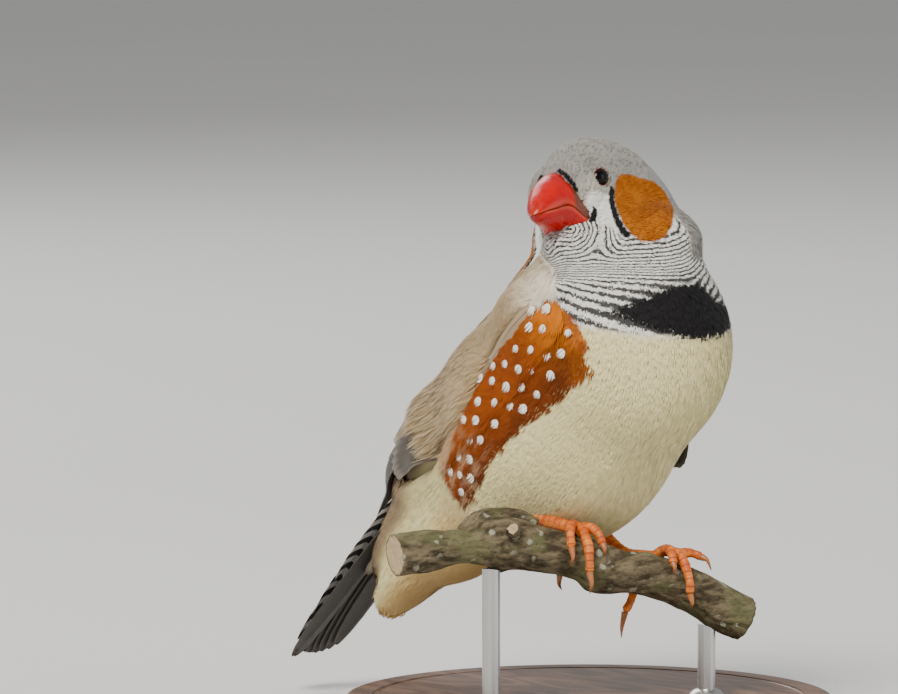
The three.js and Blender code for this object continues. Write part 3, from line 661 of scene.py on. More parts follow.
def layOnBody(roots, length, rootLevel, tipLevel, sway, seed):
    # three stations: steps along the flow, brought back to the plumage at levels that rise at first and
    # then lie flat
    dice = np.random.default_rng(seed)
    turn = dice.normal(size=(len(roots), 1)) * sway
    points, normals = toLevel(roots, rootLevel)
    stations, ups = [points], [normals]
    for k in (1, 2):
        way = flowAt(points)
        way = unit(way - normals * (way * normals).sum(1, keepdims=True))
        way = unit(way + np.cross(normals, way) * turn)
        points = points + way * (length / 2)[:, None]
        points, normals = toLevel(points, mix(rootLevel, tipLevel, (k / 2)**0.3))
        stations.append(points)
        ups.append(normals)
    return np.stack(stations, 1), np.stack(ups, 1)

# a barb's middle as a share of its length; a tuft's width at its root; how far tips stray; the lift of a
# tip and the sag of the sides; a barb's width against an even share of the tuft's, in a fan and in an oval
barbForm = dict(middle=0.58, rootSpread=0.35, stray=0.22, lift=0.06, sag=0.1, fanWide=1.5, ovalWide=1.25)

def barbs(stations, ups, half, count, seed, loose=0.16, oval=False):
    # a tuft is a fan of barbs: each a strip from its root, over its middle, to a point. Returns points,
    # triangles, the share of the length at each point, its place across, and its tuft's number.
    dice = np.random.default_rng(seed)
    n = len(stations)
    across = np.linspace(-1, 1, count)[None] + dice.normal(size=(n, count)) * 0.5 / count
    arch = np.sqrt(np.clip(1 - across**2, 0.02, 1))
    if oval:
        start, end = 0.5 - 0.5 * arch, 0.5 + 0.5 * arch - dice.uniform(0, loose, (n, count))
    else:
        start = dice.uniform(0, 0.3, (n, count))
        end = 1 - 0.32 * np.abs(across)**1.6 - dice.uniform(0, loose, (n, count))
    shares = np.stack([start, mix(start, end, barbForm["middle"]), end], -1)
    t = shares[..., None]
    s0, s1, s2 = (stations[:, None, None, k] for k in range(3))
    line = s0 * (1 - t) * (1 - 2 * t) + s1 * 4 * t * (1 - t) + s2 * t * (2 * t - 1)
    ahead = unit(stations[:, 2] - stations[:, 0])[:, None, None]
    up = unit(mix(ups[:, 0], ups[:, 2], 0.5))[:, None, None]
    sideways = unit(np.cross(ahead, up))
    spread = 1 if oval else mix(barbForm["rootSpread"], 1, ease(shares / 0.55))
    stray = dice.normal(size=(n, count, 1)) * barbForm["stray"] * shares**2
    offset = (across[..., None] * spread + stray) * half[:, None, None]
    lift = dice.uniform(-0.5, 1, (n, count, 1)) * barbForm["lift"] * shares
    lift = lift - barbForm["sag"] * (across**2)[..., None] * half[:, None, None]
    centre = line + sideways * offset[..., None] + up * lift[..., None]
    wide = half[:, None, None] * barbForm["ovalWide" if oval else "fanWide"] / count
    wide = wide * np.array([1.0, 0.8, 0.0])  # at root, middle and tip
    left, right = centre - sideways * wide[..., None], centre + sideways * wide[..., None]
    points = np.stack([left[:, :, 0], right[:, :, 0], left[:, :, 1], right[:, :, 1], centre[:, :, 2]], 2)
    # a barb has two points at its root, two at its middle and one at its tip
    first = (np.arange(n * count) * 5)[:, None, None]
    faces = (np.array([[0, 1, 3], [0, 3, 2], [2, 3, 4]])[None] + first).reshape(-1, 3)
    shareAt = shares[..., [0, 0, 1, 1, 2]].ravel()
    acrossAt = np.repeat(across[..., None], 5, 2).ravel()
    return points.reshape(-1, 3), faces, shareAt, acrossAt, np.repeat(np.arange(n), count * 5)

barbFaces = 3
coatFaces = 200000 * 0.97  # most triangles in one piece, with a little room
plainCrown = 0.68  # share of the crown's tufts without a dark speck

def addCoat(name, stations, ups, half, count, cells, material, seed, recolour, slotName, **shape):
    # splits a coat into pieces below the limit, adds markings and the OFBake patches
    dice = np.random.default_rng(seed + 1)
    triangles = len(stations) * count * barbFaces
    pieces = int(np.ceil(triangles / coatFaces))
    for k, part in enumerate(np.array_split(np.arange(len(stations)), pieces)):
        points, faces, share, across, tuft = barbs(stations[part], ups[part], half[part], count,
                                                   seed + 10 + k, **shape)
        info = markings(points)
        flank = info.pop("flank")
        shade = np.clip(dice.normal(0.5, 0.2, len(part)), 0, 1)[tuft] + dice.normal(0, 0.04, len(tuft))
        info["tuft"] = np.stack([share, shade, flank], -1)
        # dark specks near the tips of some of the crown's feathers
        spot = ease((share - 0.5) / 0.15) * ease((1.02 - share) / 0.2) * ease((0.62 - np.abs(across)) / 0.3)
        info["ground"][:, 3] *= spot * (dice.uniform(size=len(part)) > plainCrown)[tuft]
        if recolour:
            recolour(info, points, share)
        uv = cells[part][tuft] + np.stack([across * 0.0015, (share - 0.5) * 0.003], -1)
        addMesh(name if pieces == 1 else f"{name}{k + 1}", points, faces, material, info,
                np.clip(uv, 0.001, 0.999))
    return triangles


# Eyes and bill are set first, because the coat keeps clear of them
eye = dict(
    along=-0.2, side=4.05, rise=0.15, forward=0.42,  # on the head, and how far the eye's axis leans forwards
    radius=1.5, pupil=0.98, iris=1.22, lidRadius=1.3, lidThick=0.19, lidOut=1.02, opening=1.42,
)

def eyeCentre(sign):
    return place(head, eye["along"], eye["side"] * sign, eye["rise"])

def eyeOutward(sign):
    return unit(head["side"] * sign + head["along"] * eye["forward"])

bill = dict(
    base=1.6,
    mouth=[[2.4, -5.6], [3.4, -5.3], [4.6, -4.5], [6.4, -2.9], [9.5, -2.8], [12, -3.05]],  # along, rise
    # each mandible as along, half width, height
    upper=[[2.4, 3.3, 8.1], [3.6, 3.45, 7.5], [5, 3.35, 6.3], [6.6, 3.05, 4.5], [8.2, 2.6, 3.55],
           [10, 1.85, 2.25], [11.1, 1.1, 1.15], [11.7, 0.5, 0.5], [11.95, 0.1, 0.1]],
    lower=[[2.4, 3.2, 1.6], [3.6, 3.4, 1.7], [5, 3.2, 1.9], [6.6, 2.85, 2.4], [8.2, 2.35, 2],
           [10, 1.65, 1.35], [11, 0.9, 0.75], [11.4, 0.12, 0.12]],
)

def billInside(points):
    # above 0 outside the bill: the place in its section, as a share of the section's half width and height
    along, side, rise = within(head, points)
    lift = rise - readValue(bill["mouth"], along)
    rows = np.where((lift > 0)[:, None], readRow(bill["upper"], along), readRow(bill["lower"], along))
    return np.where(along > 2.3, np.hypot(side / rows[:, 0], lift / (rows[:, 1] + 0.15)) - 1, 1)

def clearOf(stations):
    # tufts that cross the eye's opening or start in the bill are left out
    keep = billInside(stations[:, 0]) > -0.08
    for sign in (-1, 1):
        for k in range(3):
            away = stations[:, k] - eyeCentre(sign)
            out = away @ eyeOutward(sign)
            fromAxis = np.linalg.norm(away - out[:, None] * eyeOutward(sign), axis=1)
            keep &= (out < 0) | (fromAxis > eye["opening"] - (0.2 if k == 0 else 0))
    return keep

def addSkinCoat(name, slotName, rings, uv, region, material, seed, count, density, length, half):
    # density in tufts to the mm2, length in mm and half width as a share of it are read at the roots
    roots, cells = sampleSkin(rings, uv, density, region, seed)
    dice = np.random.default_rng(seed + 5)
    size = length(roots) * dice.uniform(0.85, 1.15, len(roots))
    tipLevel = dice.uniform(-0.03, 0.04, len(roots))
    stations, ups = layOnBody(roots, size, -coatDepth(roots), tipLevel, 0.1, seed + 6)
    keep = clearOf(stations)
    made = addCoat(name, stations[keep], ups[keep], (half(roots) * size)[keep], count, cells[keep], material,
                   seed, None, slotName)
    print(f"{name}: {keep.sum()} tufts, {made} triangles")

def headRegion(points):
    z = (points - perchMiddle)[:, 2]
    return (z > 46) | (within(head, points)[0] > 2)

def underWing(points):
    # true where a folded wing hides the skin
    along, angle = spineAngle(points)
    edges = readRow(wing["edges"], along)
    return (angle > edges[:, 0] + 9) & (angle < edges[:, 1] - 7) & (along > -3) & (along < 38)

def buildCoat(rings, uv):
    # shortest and densest on the face, longest and sparsest on the trunk
    feathers = plumageMaterial("plumageCoat")
    onHead = lambda p: headRegion(p).astype(float)
    onBody = lambda p: (~headRegion(p) & ~underWing(p)).astype(float)
    breast = lambda p: ((p - perchMiddle)[:, 2] > 30) & (within(trunk, p)[0] < 6)
    low = lambda p: ease((33 - (p - perchMiddle)[:, 2]) / 3)  # below the band
    addSkinCoat("coatHead", "head_plumage", rings, uv, onHead, feathers, seed=11, count=6,
                density=lambda p: mix(15, 9, ease((headFar(p) - 4) / 8)),
                length=lambda p: mix(1.1, 2.6, ease((headFar(p) - 3) / 11)), half=lambda p: 0.24)
    addSkinCoat("coatBreast", "breast_plumage", rings, uv, lambda p: onBody(p) * breast(p), feathers, seed=21,
                count=7, density=lambda p: 7.5, length=lambda p: 3.2 + 2.2 * low(p),
                half=lambda p: 0.2 - 0.06 * low(p))
    addSkinCoat("coatBody", "belly_plumage", rings, uv, lambda p: onBody(p) * ~breast(p), feathers, seed=31,
                count=9, density=lambda p: 4.8, length=lambda p: 6.6, half=lambda p: 0.12)
    return feathers


# Flank: rufous feathers that lie over the wing's lower edge, with white spots in staggered rows
flank = dict(
    tufts=3600, half=0.72, long=(3.8, 5.6), along=(-6.5, 27), rootLevel=(-0.9, 0.05), tipLevel=(0.1, 0.6),
    # the rufous in painted light at the top front, its middle tone, and in painted shade below
    lit=(0.6, 0.17, 0.004), middle=(0.3, 0.062, 0.003), dark=(0.11, 0.023, 0.004),
    fringe=(0.62, 0.43, 0.24),
)
spots = dict(along=-3.2, pitch=3.6, angle=63.0, row=8.2, long=1.6, half=0.63, white=(0.88, 0.86, 0.78, 0))

def overWing(points):
    # 1 where the feathers lie on the folded wing, 0 on the body
    along, angle = spineAngle(points)
    edges = readRow(wing["edges"], along)
    return ease((edges[:, 1] + 8 - angle) / 6) * ease((along + 8) / 4)

def onFlank(along, angle, sign):
    # points on the plumage's outer surface at a place along the trunk and an angle from the spine
    origin = place(trunk, along, 0, 0)
    way = roundTrunk(angle, sign)
    return origin + way * rayTo(origin, way, plumage)[:, None]

def shownFlank(along, angle, sign):
    # the left wing droops over most of its flank
    return (sign < 0) | (along < 1) | (angle > droopedEdge(wing["left"], along))

def flankCells(along, angle):
    # the flank's own unwrap: round the trunk and along it
    return np.c_[0.08 + 0.84 * (angle - 55) / 65, 0.08 + 0.84 * (along + 8) / 38]

def noRufous(info, points, share):
    info["tuft"][:, 2] = unmarked

def plain(info):
    # switches off the markings that belong to other places
    info["tuft"][:, 2] = unmarked
    info["marks"][:, 1:] = unmarked
    info["face"][:] = unmarked

shoulder = dict(tufts=3400, along=(-9, 3), angle=(18, 88), long=(3.2, 4.6), half=0.55, rootLevel=(-0.9, 0.25),
                tipLevel=(0.05, 0.62))

def buildShoulder(feathers):
    # soft breast and back feathers that reach over the wing's front edge
    for sign, name, seed in ((-1, "Right", 81), (1, "Left", 91)):
        dice = np.random.default_rng(seed)
        along, angle = (dice.uniform(*shoulder[key], shoulder["tufts"]) for key in ("along", "angle"))
        use = along < 3 - 5 * ease((angle - 55) / 20) - dice.uniform(0, 3, len(along))
        use &= angle < readValue(marks["flankTop"], along + 4) - 1
        along, angle = along[use], angle[use]
        roots = onFlank(along, angle, sign)
        high = overWing(roots)
        length = dice.uniform(*shoulder["long"], len(roots))
        tipLevel = mix(*shoulder["tipLevel"], high) + dice.uniform(-0.06, 0.1, len(roots))
        stations, ups = layOnBody(roots, length, mix(*shoulder["rootLevel"], high), tipLevel, 0.1, seed + 2)
        keep = overWing(stations[:, 2]) > 0.02
        cells = flankCells(along * 2, 55 + (angle - 18) * 0.9)[keep]
        addCoat(f"coatShoulder{name}", stations[keep], ups[keep], np.full(keep.sum(), shoulder["half"]), 8,
                cells, feathers, seed + 4, noRufous, "breast_plumage", loose=0.3)
    print("shoulders ready")

def rufous(info, points, share):
    # brightest at the top front and darker behind and below, as painted light and painted shade on the
    # rufous; paling to buff at the upper fringe's tips
    along, angle = spineAngle(points)
    colour = mix(np.array(flank["lit"]), np.array(flank["middle"]), ease((along + 5) / 10)[:, None])
    colour = over(colour, flank["dark"], 0.75 * ease((angle - 88) / 24) + 0.2 * waves(points, 1.2, 5))
    fringe = 0.75 * ease((readValue(marks["flankTop"], along) + 2 - angle) / 4) * ease(share / 0.5)
    behind = 0.55 * ease((along - 17) / 8) * ease((share - 0.3) / 0.5) * (waves(points, 2.2, 6) > 0.1)
    info["ground"][:, :3] = over(colour, flank["fringe"], np.maximum(fringe, behind))
    plain(info)

def white(info, points, share):
    info["ground"][:] = spots["white"]
    info["tuft"][:, 0] = 0.8
    plain(info)

def buildFlankFeathers(name, sign, dice, feathers, seed):
    count = flank["tufts"]
    along = dice.uniform(*flank["along"], count)
    top, low = flankEdges(along)
    angle = mix(top - 3, low + 1, dice.uniform(size=count))
    roots = onFlank(along, angle, sign)
    high = overWing(roots)
    length = dice.uniform(*flank["long"], count)
    tipLevel = mix(*flank["tipLevel"], high) + dice.uniform(-0.08, 0.14, count)
    stations, ups = layOnBody(roots, length, mix(*flank["rootLevel"], high), tipLevel, 0.1, seed + 2)
    keep = (along > -4.7 + dice.uniform(0, 0.8, count)) & shownFlank(along + 3, angle, sign)
    addCoat(f"coatFlank{name}", stations[keep], ups[keep], np.full(keep.sum(), flank["half"]), 9,
            flankCells(along, angle)[keep], feathers, seed + 4, rufous, "belly_plumage", loose=0.3)

def buildFlankSpots(name, sign, dice, feathers, seed):
    # nine rows down the side and twelve places in each; a spot is a small round fan on top of the rufous
    rows, places = (grid.ravel() for grid in np.meshgrid(np.arange(9), np.arange(12), indexing="ij"))
    along = spots["along"] + (places + rows % 2 / 2) * spots["pitch"]
    angle = spots["angle"] + rows * spots["row"] + places * 0.4
    along = along + dice.normal(0, 0.3, len(along))
    angle = angle + dice.normal(0, 1.1, len(angle))
    top, low = flankEdges(along)
    use = (angle > top + 2.5) & (angle < low - 2) & (along > -4) & (along < 28)
    use &= (dice.uniform(size=len(along)) > 0.06) & shownFlank(along + 1, angle - 2, sign)
    along, angle = along[use], angle[use]
    roots = onFlank(along, angle, sign)
    level = mix(0.32, 0.85, overWing(roots))
    size = spots["long"] * dice.uniform(0.75, 1.1, len(roots))
    stations, ups = layOnBody(roots, size, level - 0.06, level + 0.08, 0.25, seed + 6)
    addCoat(f"spotsFlank{name}", stations, ups, spots["half"] * size / spots["long"], 11,
            flankCells(along, angle), feathers, seed + 8, white, "belly_plumage", oval=True, loose=0.1)

def buildFlank(feathers):
    for sign, name, seed in ((-1, "Right", 41), (1, "Left", 61)):
        dice = np.random.default_rng(seed)
        buildFlankFeathers(name, sign, dice, feathers, seed)
        buildFlankSpots(name, sign, dice, feathers, seed)
    print("flanks ready")


# Wings: vanes in tiers on the sheet, and soft coverts over them
vaneTones = dict(  # colour, and how strongly the pale margin shows
    black=(0.034, 0.031, 0.03, 0.25), brown=(0.07, 0.056, 0.043, 0.45), fawn=(0.25, 0.18, 0.105, 1),
    pale=(0.34, 0.25, 0.15, 1),
)
tierParts = ("count", "first", "last", "out", "half", "bow", "tone")
tiers = [dict(zip(tierParts, row)) for row in (
    # how many; root and tip of the first and of the last feather as [along, angle]; distance out; half
    # width; bow of the row of tips; tone
    (9, [[8, 86], [50, 15]], [[10, 79], [39, 34]], (0.7, 1.1), 1.5, 4, "black"),
    (7, [[8, 84], [38, 58]], [[11, 60], [34, 36]], (1.15, 1.4), 1.9, 1.5, "brown"),
    (3, [[9, 60], [36, 34]], [[12, 48], [26, 36]], (1.5, 1.65), 3, 1, "fawn"),
    (9, [[5, 88], [17, 82]], [[7, 50], [19, 44]], (1.5, 1.6), 1.6, 1.5, "fawn"),
    (9, [[-1, 84], [9, 84]], [[0, 54], [11, 47]], (1.62, 1.7), 1.5, 1, "pale"),
)]
coverts = dict(
    tufts=6000, long=(3.4, 5), longer=2.6, half=0.62, along=(-4.5, 26), out=(1.45, 2.1),
    deep=(0.3, 0.2, 0.1), warm=(0.54, 0.39, 0.21), pale=(0.8, 0.67, 0.45), shaded=(0.1, 0.07, 0.045),
    slate=(0.045, 0.048, 0.055, 0.2),  # as a vane's tone
)
vaneShape = dict(steps=26, across=9, thick=0.14, edge=0.05, tilt=-0.2, shaft=0.09)

def vaneMaterial(name, margin=(0.5, 0.42, 0.32), bars=False):
    # barbs slant from the shaft to the edge, the margin is paler, and the shaft is a fine line
    material, tree = newMaterial(name)
    ground = attribute(tree, "ground")
    share, across, dice = stored(tree, "vane")
    wide = calc(tree, "ABSOLUTE", across)
    lengthwise = times(tree, share, 9.0)
    slant = times(tree, minus(tree, lengthwise, wide), 9.0)
    slanted = put(tree, "CombineXYZ", {0: slant, 1: times(tree, across, 0.8), 2: times(tree, dice, 40.0)})
    streaks = noise(tree, slanted.outputs[0], 1.6, 4, 0.65)
    colour = ground["Color"]
    if bars:
        band = plus(tree, lengthwise, times(tree, wide, -0.35))
        band = plus(tree, band, times(tree, dice, 0.7))
        wave = plus(tree, zigzag(tree, band), times(tree, streaks, 0.12))
        colour = blend(tree, cut(tree, wave, 0.52, 0.6), colour, (0.72, 0.7, 0.65))
    else:
        strength = times(tree, ground["Alpha"], 0.7)
        sides = plus(tree, wide, times(tree, minus(tree, streaks, 0.5), 0.5))
        colour = blend(tree, times(tree, cut(tree, sides, 0.68, 0.98), strength), colour, margin)
        tip = cut(tree, plus(tree, share, times(tree, wide, 0.03)), 0.93, 1.0)
        colour = blend(tree, times(tree, tip, strength), colour, margin)
    light = plus(tree, cut(tree, streaks, 0.3, 0.7, (0.78, 1.12)), times(tree, dice, 0.12))
    colour = shade(tree, colour, light)
    shaft = cut(tree, wide, 0.02, 0.05, (0.75, 0.0))
    colour = blend(tree, shaft, colour, (0.05, 0.035, 0.025))
    finishMaterial(tree, colour, 0.55, streaks, 0.00006, 0.7, Sheen_Weight=0.1, Specular_IOR_Level=0.3)
    return material

def vane(half, pointAt, tone, seed):
    # a thin closed vane: its section's loop goes over the top and back beneath; it narrows to a round tip
    dice = np.random.default_rng(seed)
    steps, c = vaneShape["steps"], vaneShape["across"]
    share = 1 - (1 - np.linspace(0, 1, steps))**1.35
    width = mix(0.7, 1, ease(share / 0.4)) * np.sqrt(1 - (np.clip((share - 0.62) / 0.38, 0, 1) * 0.985)**2)
    x = np.linspace(-1, 1, c)
    loop = np.concatenate([x, x[::-1]])
    top = np.concatenate([np.ones(c), -np.ones(c)])
    thick = np.where(top > 0, 1, -1) * mix(vaneShape["thick"], vaneShape["edge"], np.abs(loop)) / 2
    ridge = np.where(top > 0, vaneShape["shaft"] * bell(loop / 0.06), 0)
    s, l = np.meshgrid(share, loop, indexing="ij")
    ragged = 1 + 0.03 * np.sin(s * 70 + dice.uniform(0, 6)) * np.abs(l)**4
    across = half * width[:, None] * l * ragged
    out = vaneShape["tilt"] * l * width[:, None] + thick[None] + ridge[None] * (1 - s) - 0.12 * l**2 * half
    rings = pointAt(s, across, out)
    points, faces = closedTube(rings)
    n = len(points)
    draw = dice.uniform()
    values = np.stack([np.append(s.ravel(), [0, 1]), np.append(l.ravel(), [0, 0]), np.full(n, draw)], -1)
    colour = np.array(tone) * np.r_[np.full(3, 0.9 + 0.2 * dice.uniform()), 1]
    return points, turnedOut(points, faces), dict(vane=values, ground=np.broadcast_to(colour, (n, 4)))

def atlas(parts):
    # OFBake cells for vanes: each vane has its own square of a grid
    cells = int(np.ceil(np.sqrt(len(parts))))
    uv = []
    for k, (_, _, info) in enumerate(parts):
        share, across = info["vane"][:, 0], info["vane"][:, 1]
        uv.append((np.stack([share * 0.9 + 0.05, across * 0.45 + 0.5], -1) + [k % cells, k // cells]) / cells)
    return np.concatenate(uv)

def tierVanes(side, tier, seed):
    # feathers shared evenly between the tier's first and last
    made = []
    for k in range(tier["count"]):
        t = k / (tier["count"] - 1)
        root, tip = (mix(np.array(tier["first"][i]), np.array(tier["last"][i]), t) for i in (0, 1))
        reach = tip[0] + tier["bow"] * np.sin(t * np.pi)
        out0 = mix(tier["out"][0], tier["out"][1], t)

        def pointAt(share, across, out):
            along = mix(root[0], reach, share)
            angle = mix(root[1], tip[1], share**1.2)
            radius = mix(13, 6, ease((along - 28) / 24))
            return sheetPoint(side, along, angle - np.degrees(across / radius), out0 + out)

        made.append(vane(tier["half"], pointAt, vaneTones[tier["tone"]], seed + k))
    return made

def belowEdge(side, points):
    # 1 on the lower margin of a wing that hangs below its own edge, which is slate
    along, angle = spineAngle(points)
    lowest = droopedEdge(side, along)
    hangs = lowest - readRow(wing["edges"], along)[:, 1]
    return ease((hangs - 6) / 6) * ease((angle - lowest + 9) / 3) * ease((along - 7) / 4)

def buildVanes(name, side, material, seed):
    parts = [part for i, tier in enumerate(tiers) for part in tierVanes(side, tier, seed + 20 * i)]
    points, faces, info = joinAll(parts)
    info["ground"] = over(info["ground"], coverts["slate"], belowEdge(side, points))
    # the inner edge stops short of the other wing
    inner = 0.15 * side["sign"]
    points[:, 0] = np.where(points[:, 0] * side["sign"] < 0.15, inner, points[:, 0])
    addMesh(f"wingVanes{name}", points, faces, material, info, atlas(parts),
            replaced=(f"wing_{name.lower()}",))

def covertTone(side, seed):
    # fawn with paler tips, whitish at the bend of the wing, and a few dark tufts behind
    def recolour(info, points, share):
        soft = waves(points * [1, 0.6, 0.6], 0.5, seed)
        base = mix(np.array(coverts["deep"]), np.array(coverts["warm"]), (0.5 + 0.5 * soft)[:, None])
        along, angle = spineAngle(points)
        tip = ease((share - 0.6) / 0.4) * mix(0.3, 0.75, ease((along - 12) / 10))
        base = over(base, coverts["pale"], tip)
        base = over(base, tones["shoulder"], ease((4 - along) / 8) * ease((angle - 36) / 28))
        dark = ease((info["tuft"][:, 1] - 0.8) / 0.05) * ease((along - 9) / 8)
        base = over(base, coverts["shaded"], 0.75 * dark)
        base = over(base, coverts["slate"][:3], belowEdge(side, points))
        info["ground"][:] = np.c_[base, np.zeros(len(base))]
        info["tuft"][:, 1] = 0.5 + 2 * (info["tuft"][:, 1] - 0.5)
        plain(info)
    return recolour

def buildCoverts(name, side, feathers, seed):
    # tufts laid on the sheet itself, from the shoulder back over the roots of the long feathers
    dice = np.random.default_rng(seed + 7)
    along = dice.uniform(*coverts["along"], coverts["tufts"])
    edges = readRow(wing["edges"], along)
    lowest = readValue(marks["flankTop"], along + 3.5) + 1 + 12 * (side["droop"] > 0) * ease(along / 3)
    lowest = np.minimum(edges[:, 1] - 1, lowest)
    angle = mix(edges[:, 0] - 5, lowest, dice.uniform(size=len(along)))
    use = dice.uniform(size=len(along)) > ease((along - 10) / 15) * 0.7  # sparser behind
    along, angle = along[use], angle[use]
    length = dice.uniform(*coverts["long"], len(along)) + coverts["longer"] * ease((along - 9) / 12)
    loose = dice.uniform(-0.1, 0.28, len(along)) * ease((along - 6) / 10)
    inner = ease((angle - readRow(wing["edges"], along)[:, 0] + 5) / 12)
    stations = []
    for k in (0, 0.5, 1):
        out = mix(*coverts["out"], k**0.5) * mix(0.4, 1, inner) + 0.08 * np.sin(along * 9) * k + loose * k * k
        stations.append(sheetPoint(side, along + length * k, angle - length * k * 0.55, out))
    stations = np.stack(stations, 1)
    up = unit(stations[:, 1] - place(trunk, along, 0, 0))
    ahead = unit(stations[:, 2] - stations[:, 0])
    up = unit(up - ahead * (up * ahead).sum(1, keepdims=True))
    cells = np.c_[0.06 + 0.88 * (angle - 5) / 85, 0.06 + 0.88 * (along + 8) / 38]
    half = np.full(len(along), coverts["half"])
    addCoat(f"wingCoverts{name}", stations, np.repeat(up[:, None], 3, 1), half, 8, cells, feathers, seed + 9,
            covertTone(side, seed), "wing_plumage", loose=0.25)
    print(f"wing {name} ready")


# Tail: pairs of feathers fanned from the middle, and coverts over and under their roots
tail = dict(
    # along at root and tip, side at root and tip, rise at root and tip, half width
    pairs=[[2, 38, 0.3, 0.5, 0.5, 0.7, 2], [2, 38, 0.7, 1.3, 0.2, 0.4, 2], [2, 37.8, 1.1, 2.1, -0.1, 0.1, 2],
           [2, 37.3, 1.5, 2.8, -0.4, -0.2, 2], [2, 36.6, 1.9, 3.5, -0.7, -0.5, 1.9],
           [2, 35.5, 2.3, 4.1, -1, -0.8, 1.8]],
    barred=[[0, 36, 0.5, 1.2, 1.1, 1.5, 1.9], [0, 30, 1.5, 2.2, 0.9, 1.2, 1.9],
            [0, 23, 2.6, 3.4, 0.4, 0.7, 1.9]],
    under=[[-2, 20, 0.8, 1.2, -2.2, -1.3, 2.2], [-2, 14, 2.2, 2.8, -1.8, -1.2, 2]],
    dark=(0.035, 0.03, 0.026, 0.6), black=(0.02, 0.018, 0.018, 1), buff=(0.66, 0.56, 0.38, 1),
)

def buildTail(plainVane, barredVane):
    def feathers(rows, tone, seed):
        made = []
        for k, (root, tip, rootSide, tipSide, rootRise, tipRise, half) in enumerate(rows):
            for sign in (-1, 1):
                def pointAt(share, across, out):
                    # the left one of a pair lies a little over the right one
                    side = sign * mix(rootSide, tipSide, share) + across
                    rise = mix(rootRise, tipRise, share) + out + (0 if sign < 0 else 0.12)
                    return place(tailFrame, mix(root, tip, share), side, rise - 0.05 * sign * across)

                made.append(vane(half, pointAt, tone, seed + 2 * k + (sign > 0)))
        return made
    for name, rows, tone, material, seed in (("tailFeathers", tail["pairs"], tail["dark"], plainVane, 300),
                                             ("tailBarred", tail["barred"], tail["black"], barredVane, 340),
                                             ("tailUnder", tail["under"], tail["buff"], plainVane, 380)):
        parts = feathers(rows, tone, seed)
        points, faces, info = joinAll(parts)
        addMesh(name, points, faces, material, info, atlas(parts),
                replaced=("tail",) if name == "tailFeathers" else ())
    print("tail ready")


# Bill: sections along the head's axis, a half oval above or below the line of the mouth
def billMaterial():
    material, tree = newMaterial("billHorn")
    coords = objectCoords(tree)
    horn = attribute(tree, "horn")
    ends, pit, edge = split(tree, horn["Color"])
    broad = noise(tree, coords, 260, 3)
    colour = blend(tree, cut(tree, broad, 0.3, 0.7), (0.34, 0.0, 0.0), (0.52, 0.001, 0.0))
    colour = blend(tree, ends, colour, (0.62, 0.06, 0.005))
    # a lighter orange along the cutting edges: a painted highlight on their rounded lip
    colour = blend(tree, edge, colour, (0.6, 0.09, 0.03))
    base = blend(tree, broad, (0.2, 0.045, 0.02), (0.07, 0.03, 0.02))
    colour = blend(tree, horn["Alpha"], colour, base)
    # the nostrils' pits near black: painted shade inside them
    colour = blend(tree, pit, colour, (0.05, 0.006, 0.004))
    grain = noise(tree, coords, 2200, 3)
    rough = cut(tree, noise(tree, coords, 900, 2), 0.3, 0.7, (0.22, 0.36))
    finishMaterial(tree, colour, rough, grain, 0.00005, 0.5, Subsurface_Weight=0.03, Subsurface_Scale=0.0006,
                   Specular_IOR_Level=0.34)
    return material

def buildBill(material):
    for name, sign, rows in (("upper", 1, bill["upper"]), ("lower", -1, bill["lower"])):
        along = bill["base"] + (rows[-1][0] - bill["base"]) * (1 - (1 - np.linspace(0, 1, 60))**1.5)
        half, high = smoothRow(rows, along).T
        half, high = np.maximum(half, 0.1), np.maximum(high, 0.1)
        angle = np.radians(np.concatenate([np.linspace(0, 180, 41), np.linspace(180, 360, 12)[1:-1]]))
        a, t = np.meshgrid(along, angle, indexing="ij")
        side = np.cos(t) * half[:, None]
        arch = np.maximum(np.sin(t), 0)**0.85 * high[:, None]
        mouth = smoothRow(bill["mouth"], a)[..., 0]
        # the cutting edges almost meet, with a fine rounded lip along them
        rise = mouth + sign * (0.035 + arch)
        side = side * (1 + 0.02 * np.abs(np.cos(t))**10)
        pit = np.zeros_like(a)
        if sign > 0:  # nostrils at the base, under the feathers' edge
            pit = sum(bell((t - np.radians(turn)) / 0.11) for turn in (50, 130)) * bell((a - 4.75) / 0.34)
            side, rise = side * (1 - 0.1 * pit), rise - 0.28 * pit
        if sign < 0:  # a faint ridge where the horn meets the chin
            rise = rise - 0.05 * bell((t - np.pi / 2) / 0.2) * high[:, None]
        points, faces = closedTube(place(head, a, side, rise))
        ends = np.maximum(ease((a - 10.8) / 1.4) * 0.5, ease((5.2 - a) / 2.0) * (0.6 if sign < 0 else 0))
        skinny = ease((6.2 - a - 1.6 * np.sin(t)) / 0.5) * (sign > 0)
        # where the painted highlight runs along the cutting edges
        edge = bell((np.abs(np.cos(t)) - 1) / 0.012) * (np.sin(t) > -0.1) * (0.5 if sign < 0 else 0.3)
        horn = np.stack([np.append(values.ravel(), [0, 0]) for values in (ends, pit, edge, skinny)], -1)
        uv = np.concatenate([np.c_[(a.ravel() - bill["base"]) / 11, t.ravel() / 6.4], [[0.5, 0.5]] * 2])
        addMesh(f"bill{name.title()}", points, turnedOut(points, faces), material, dict(horn=horn), uv,
                replaced=(f"bill_{name}",))
    print("bill ready")


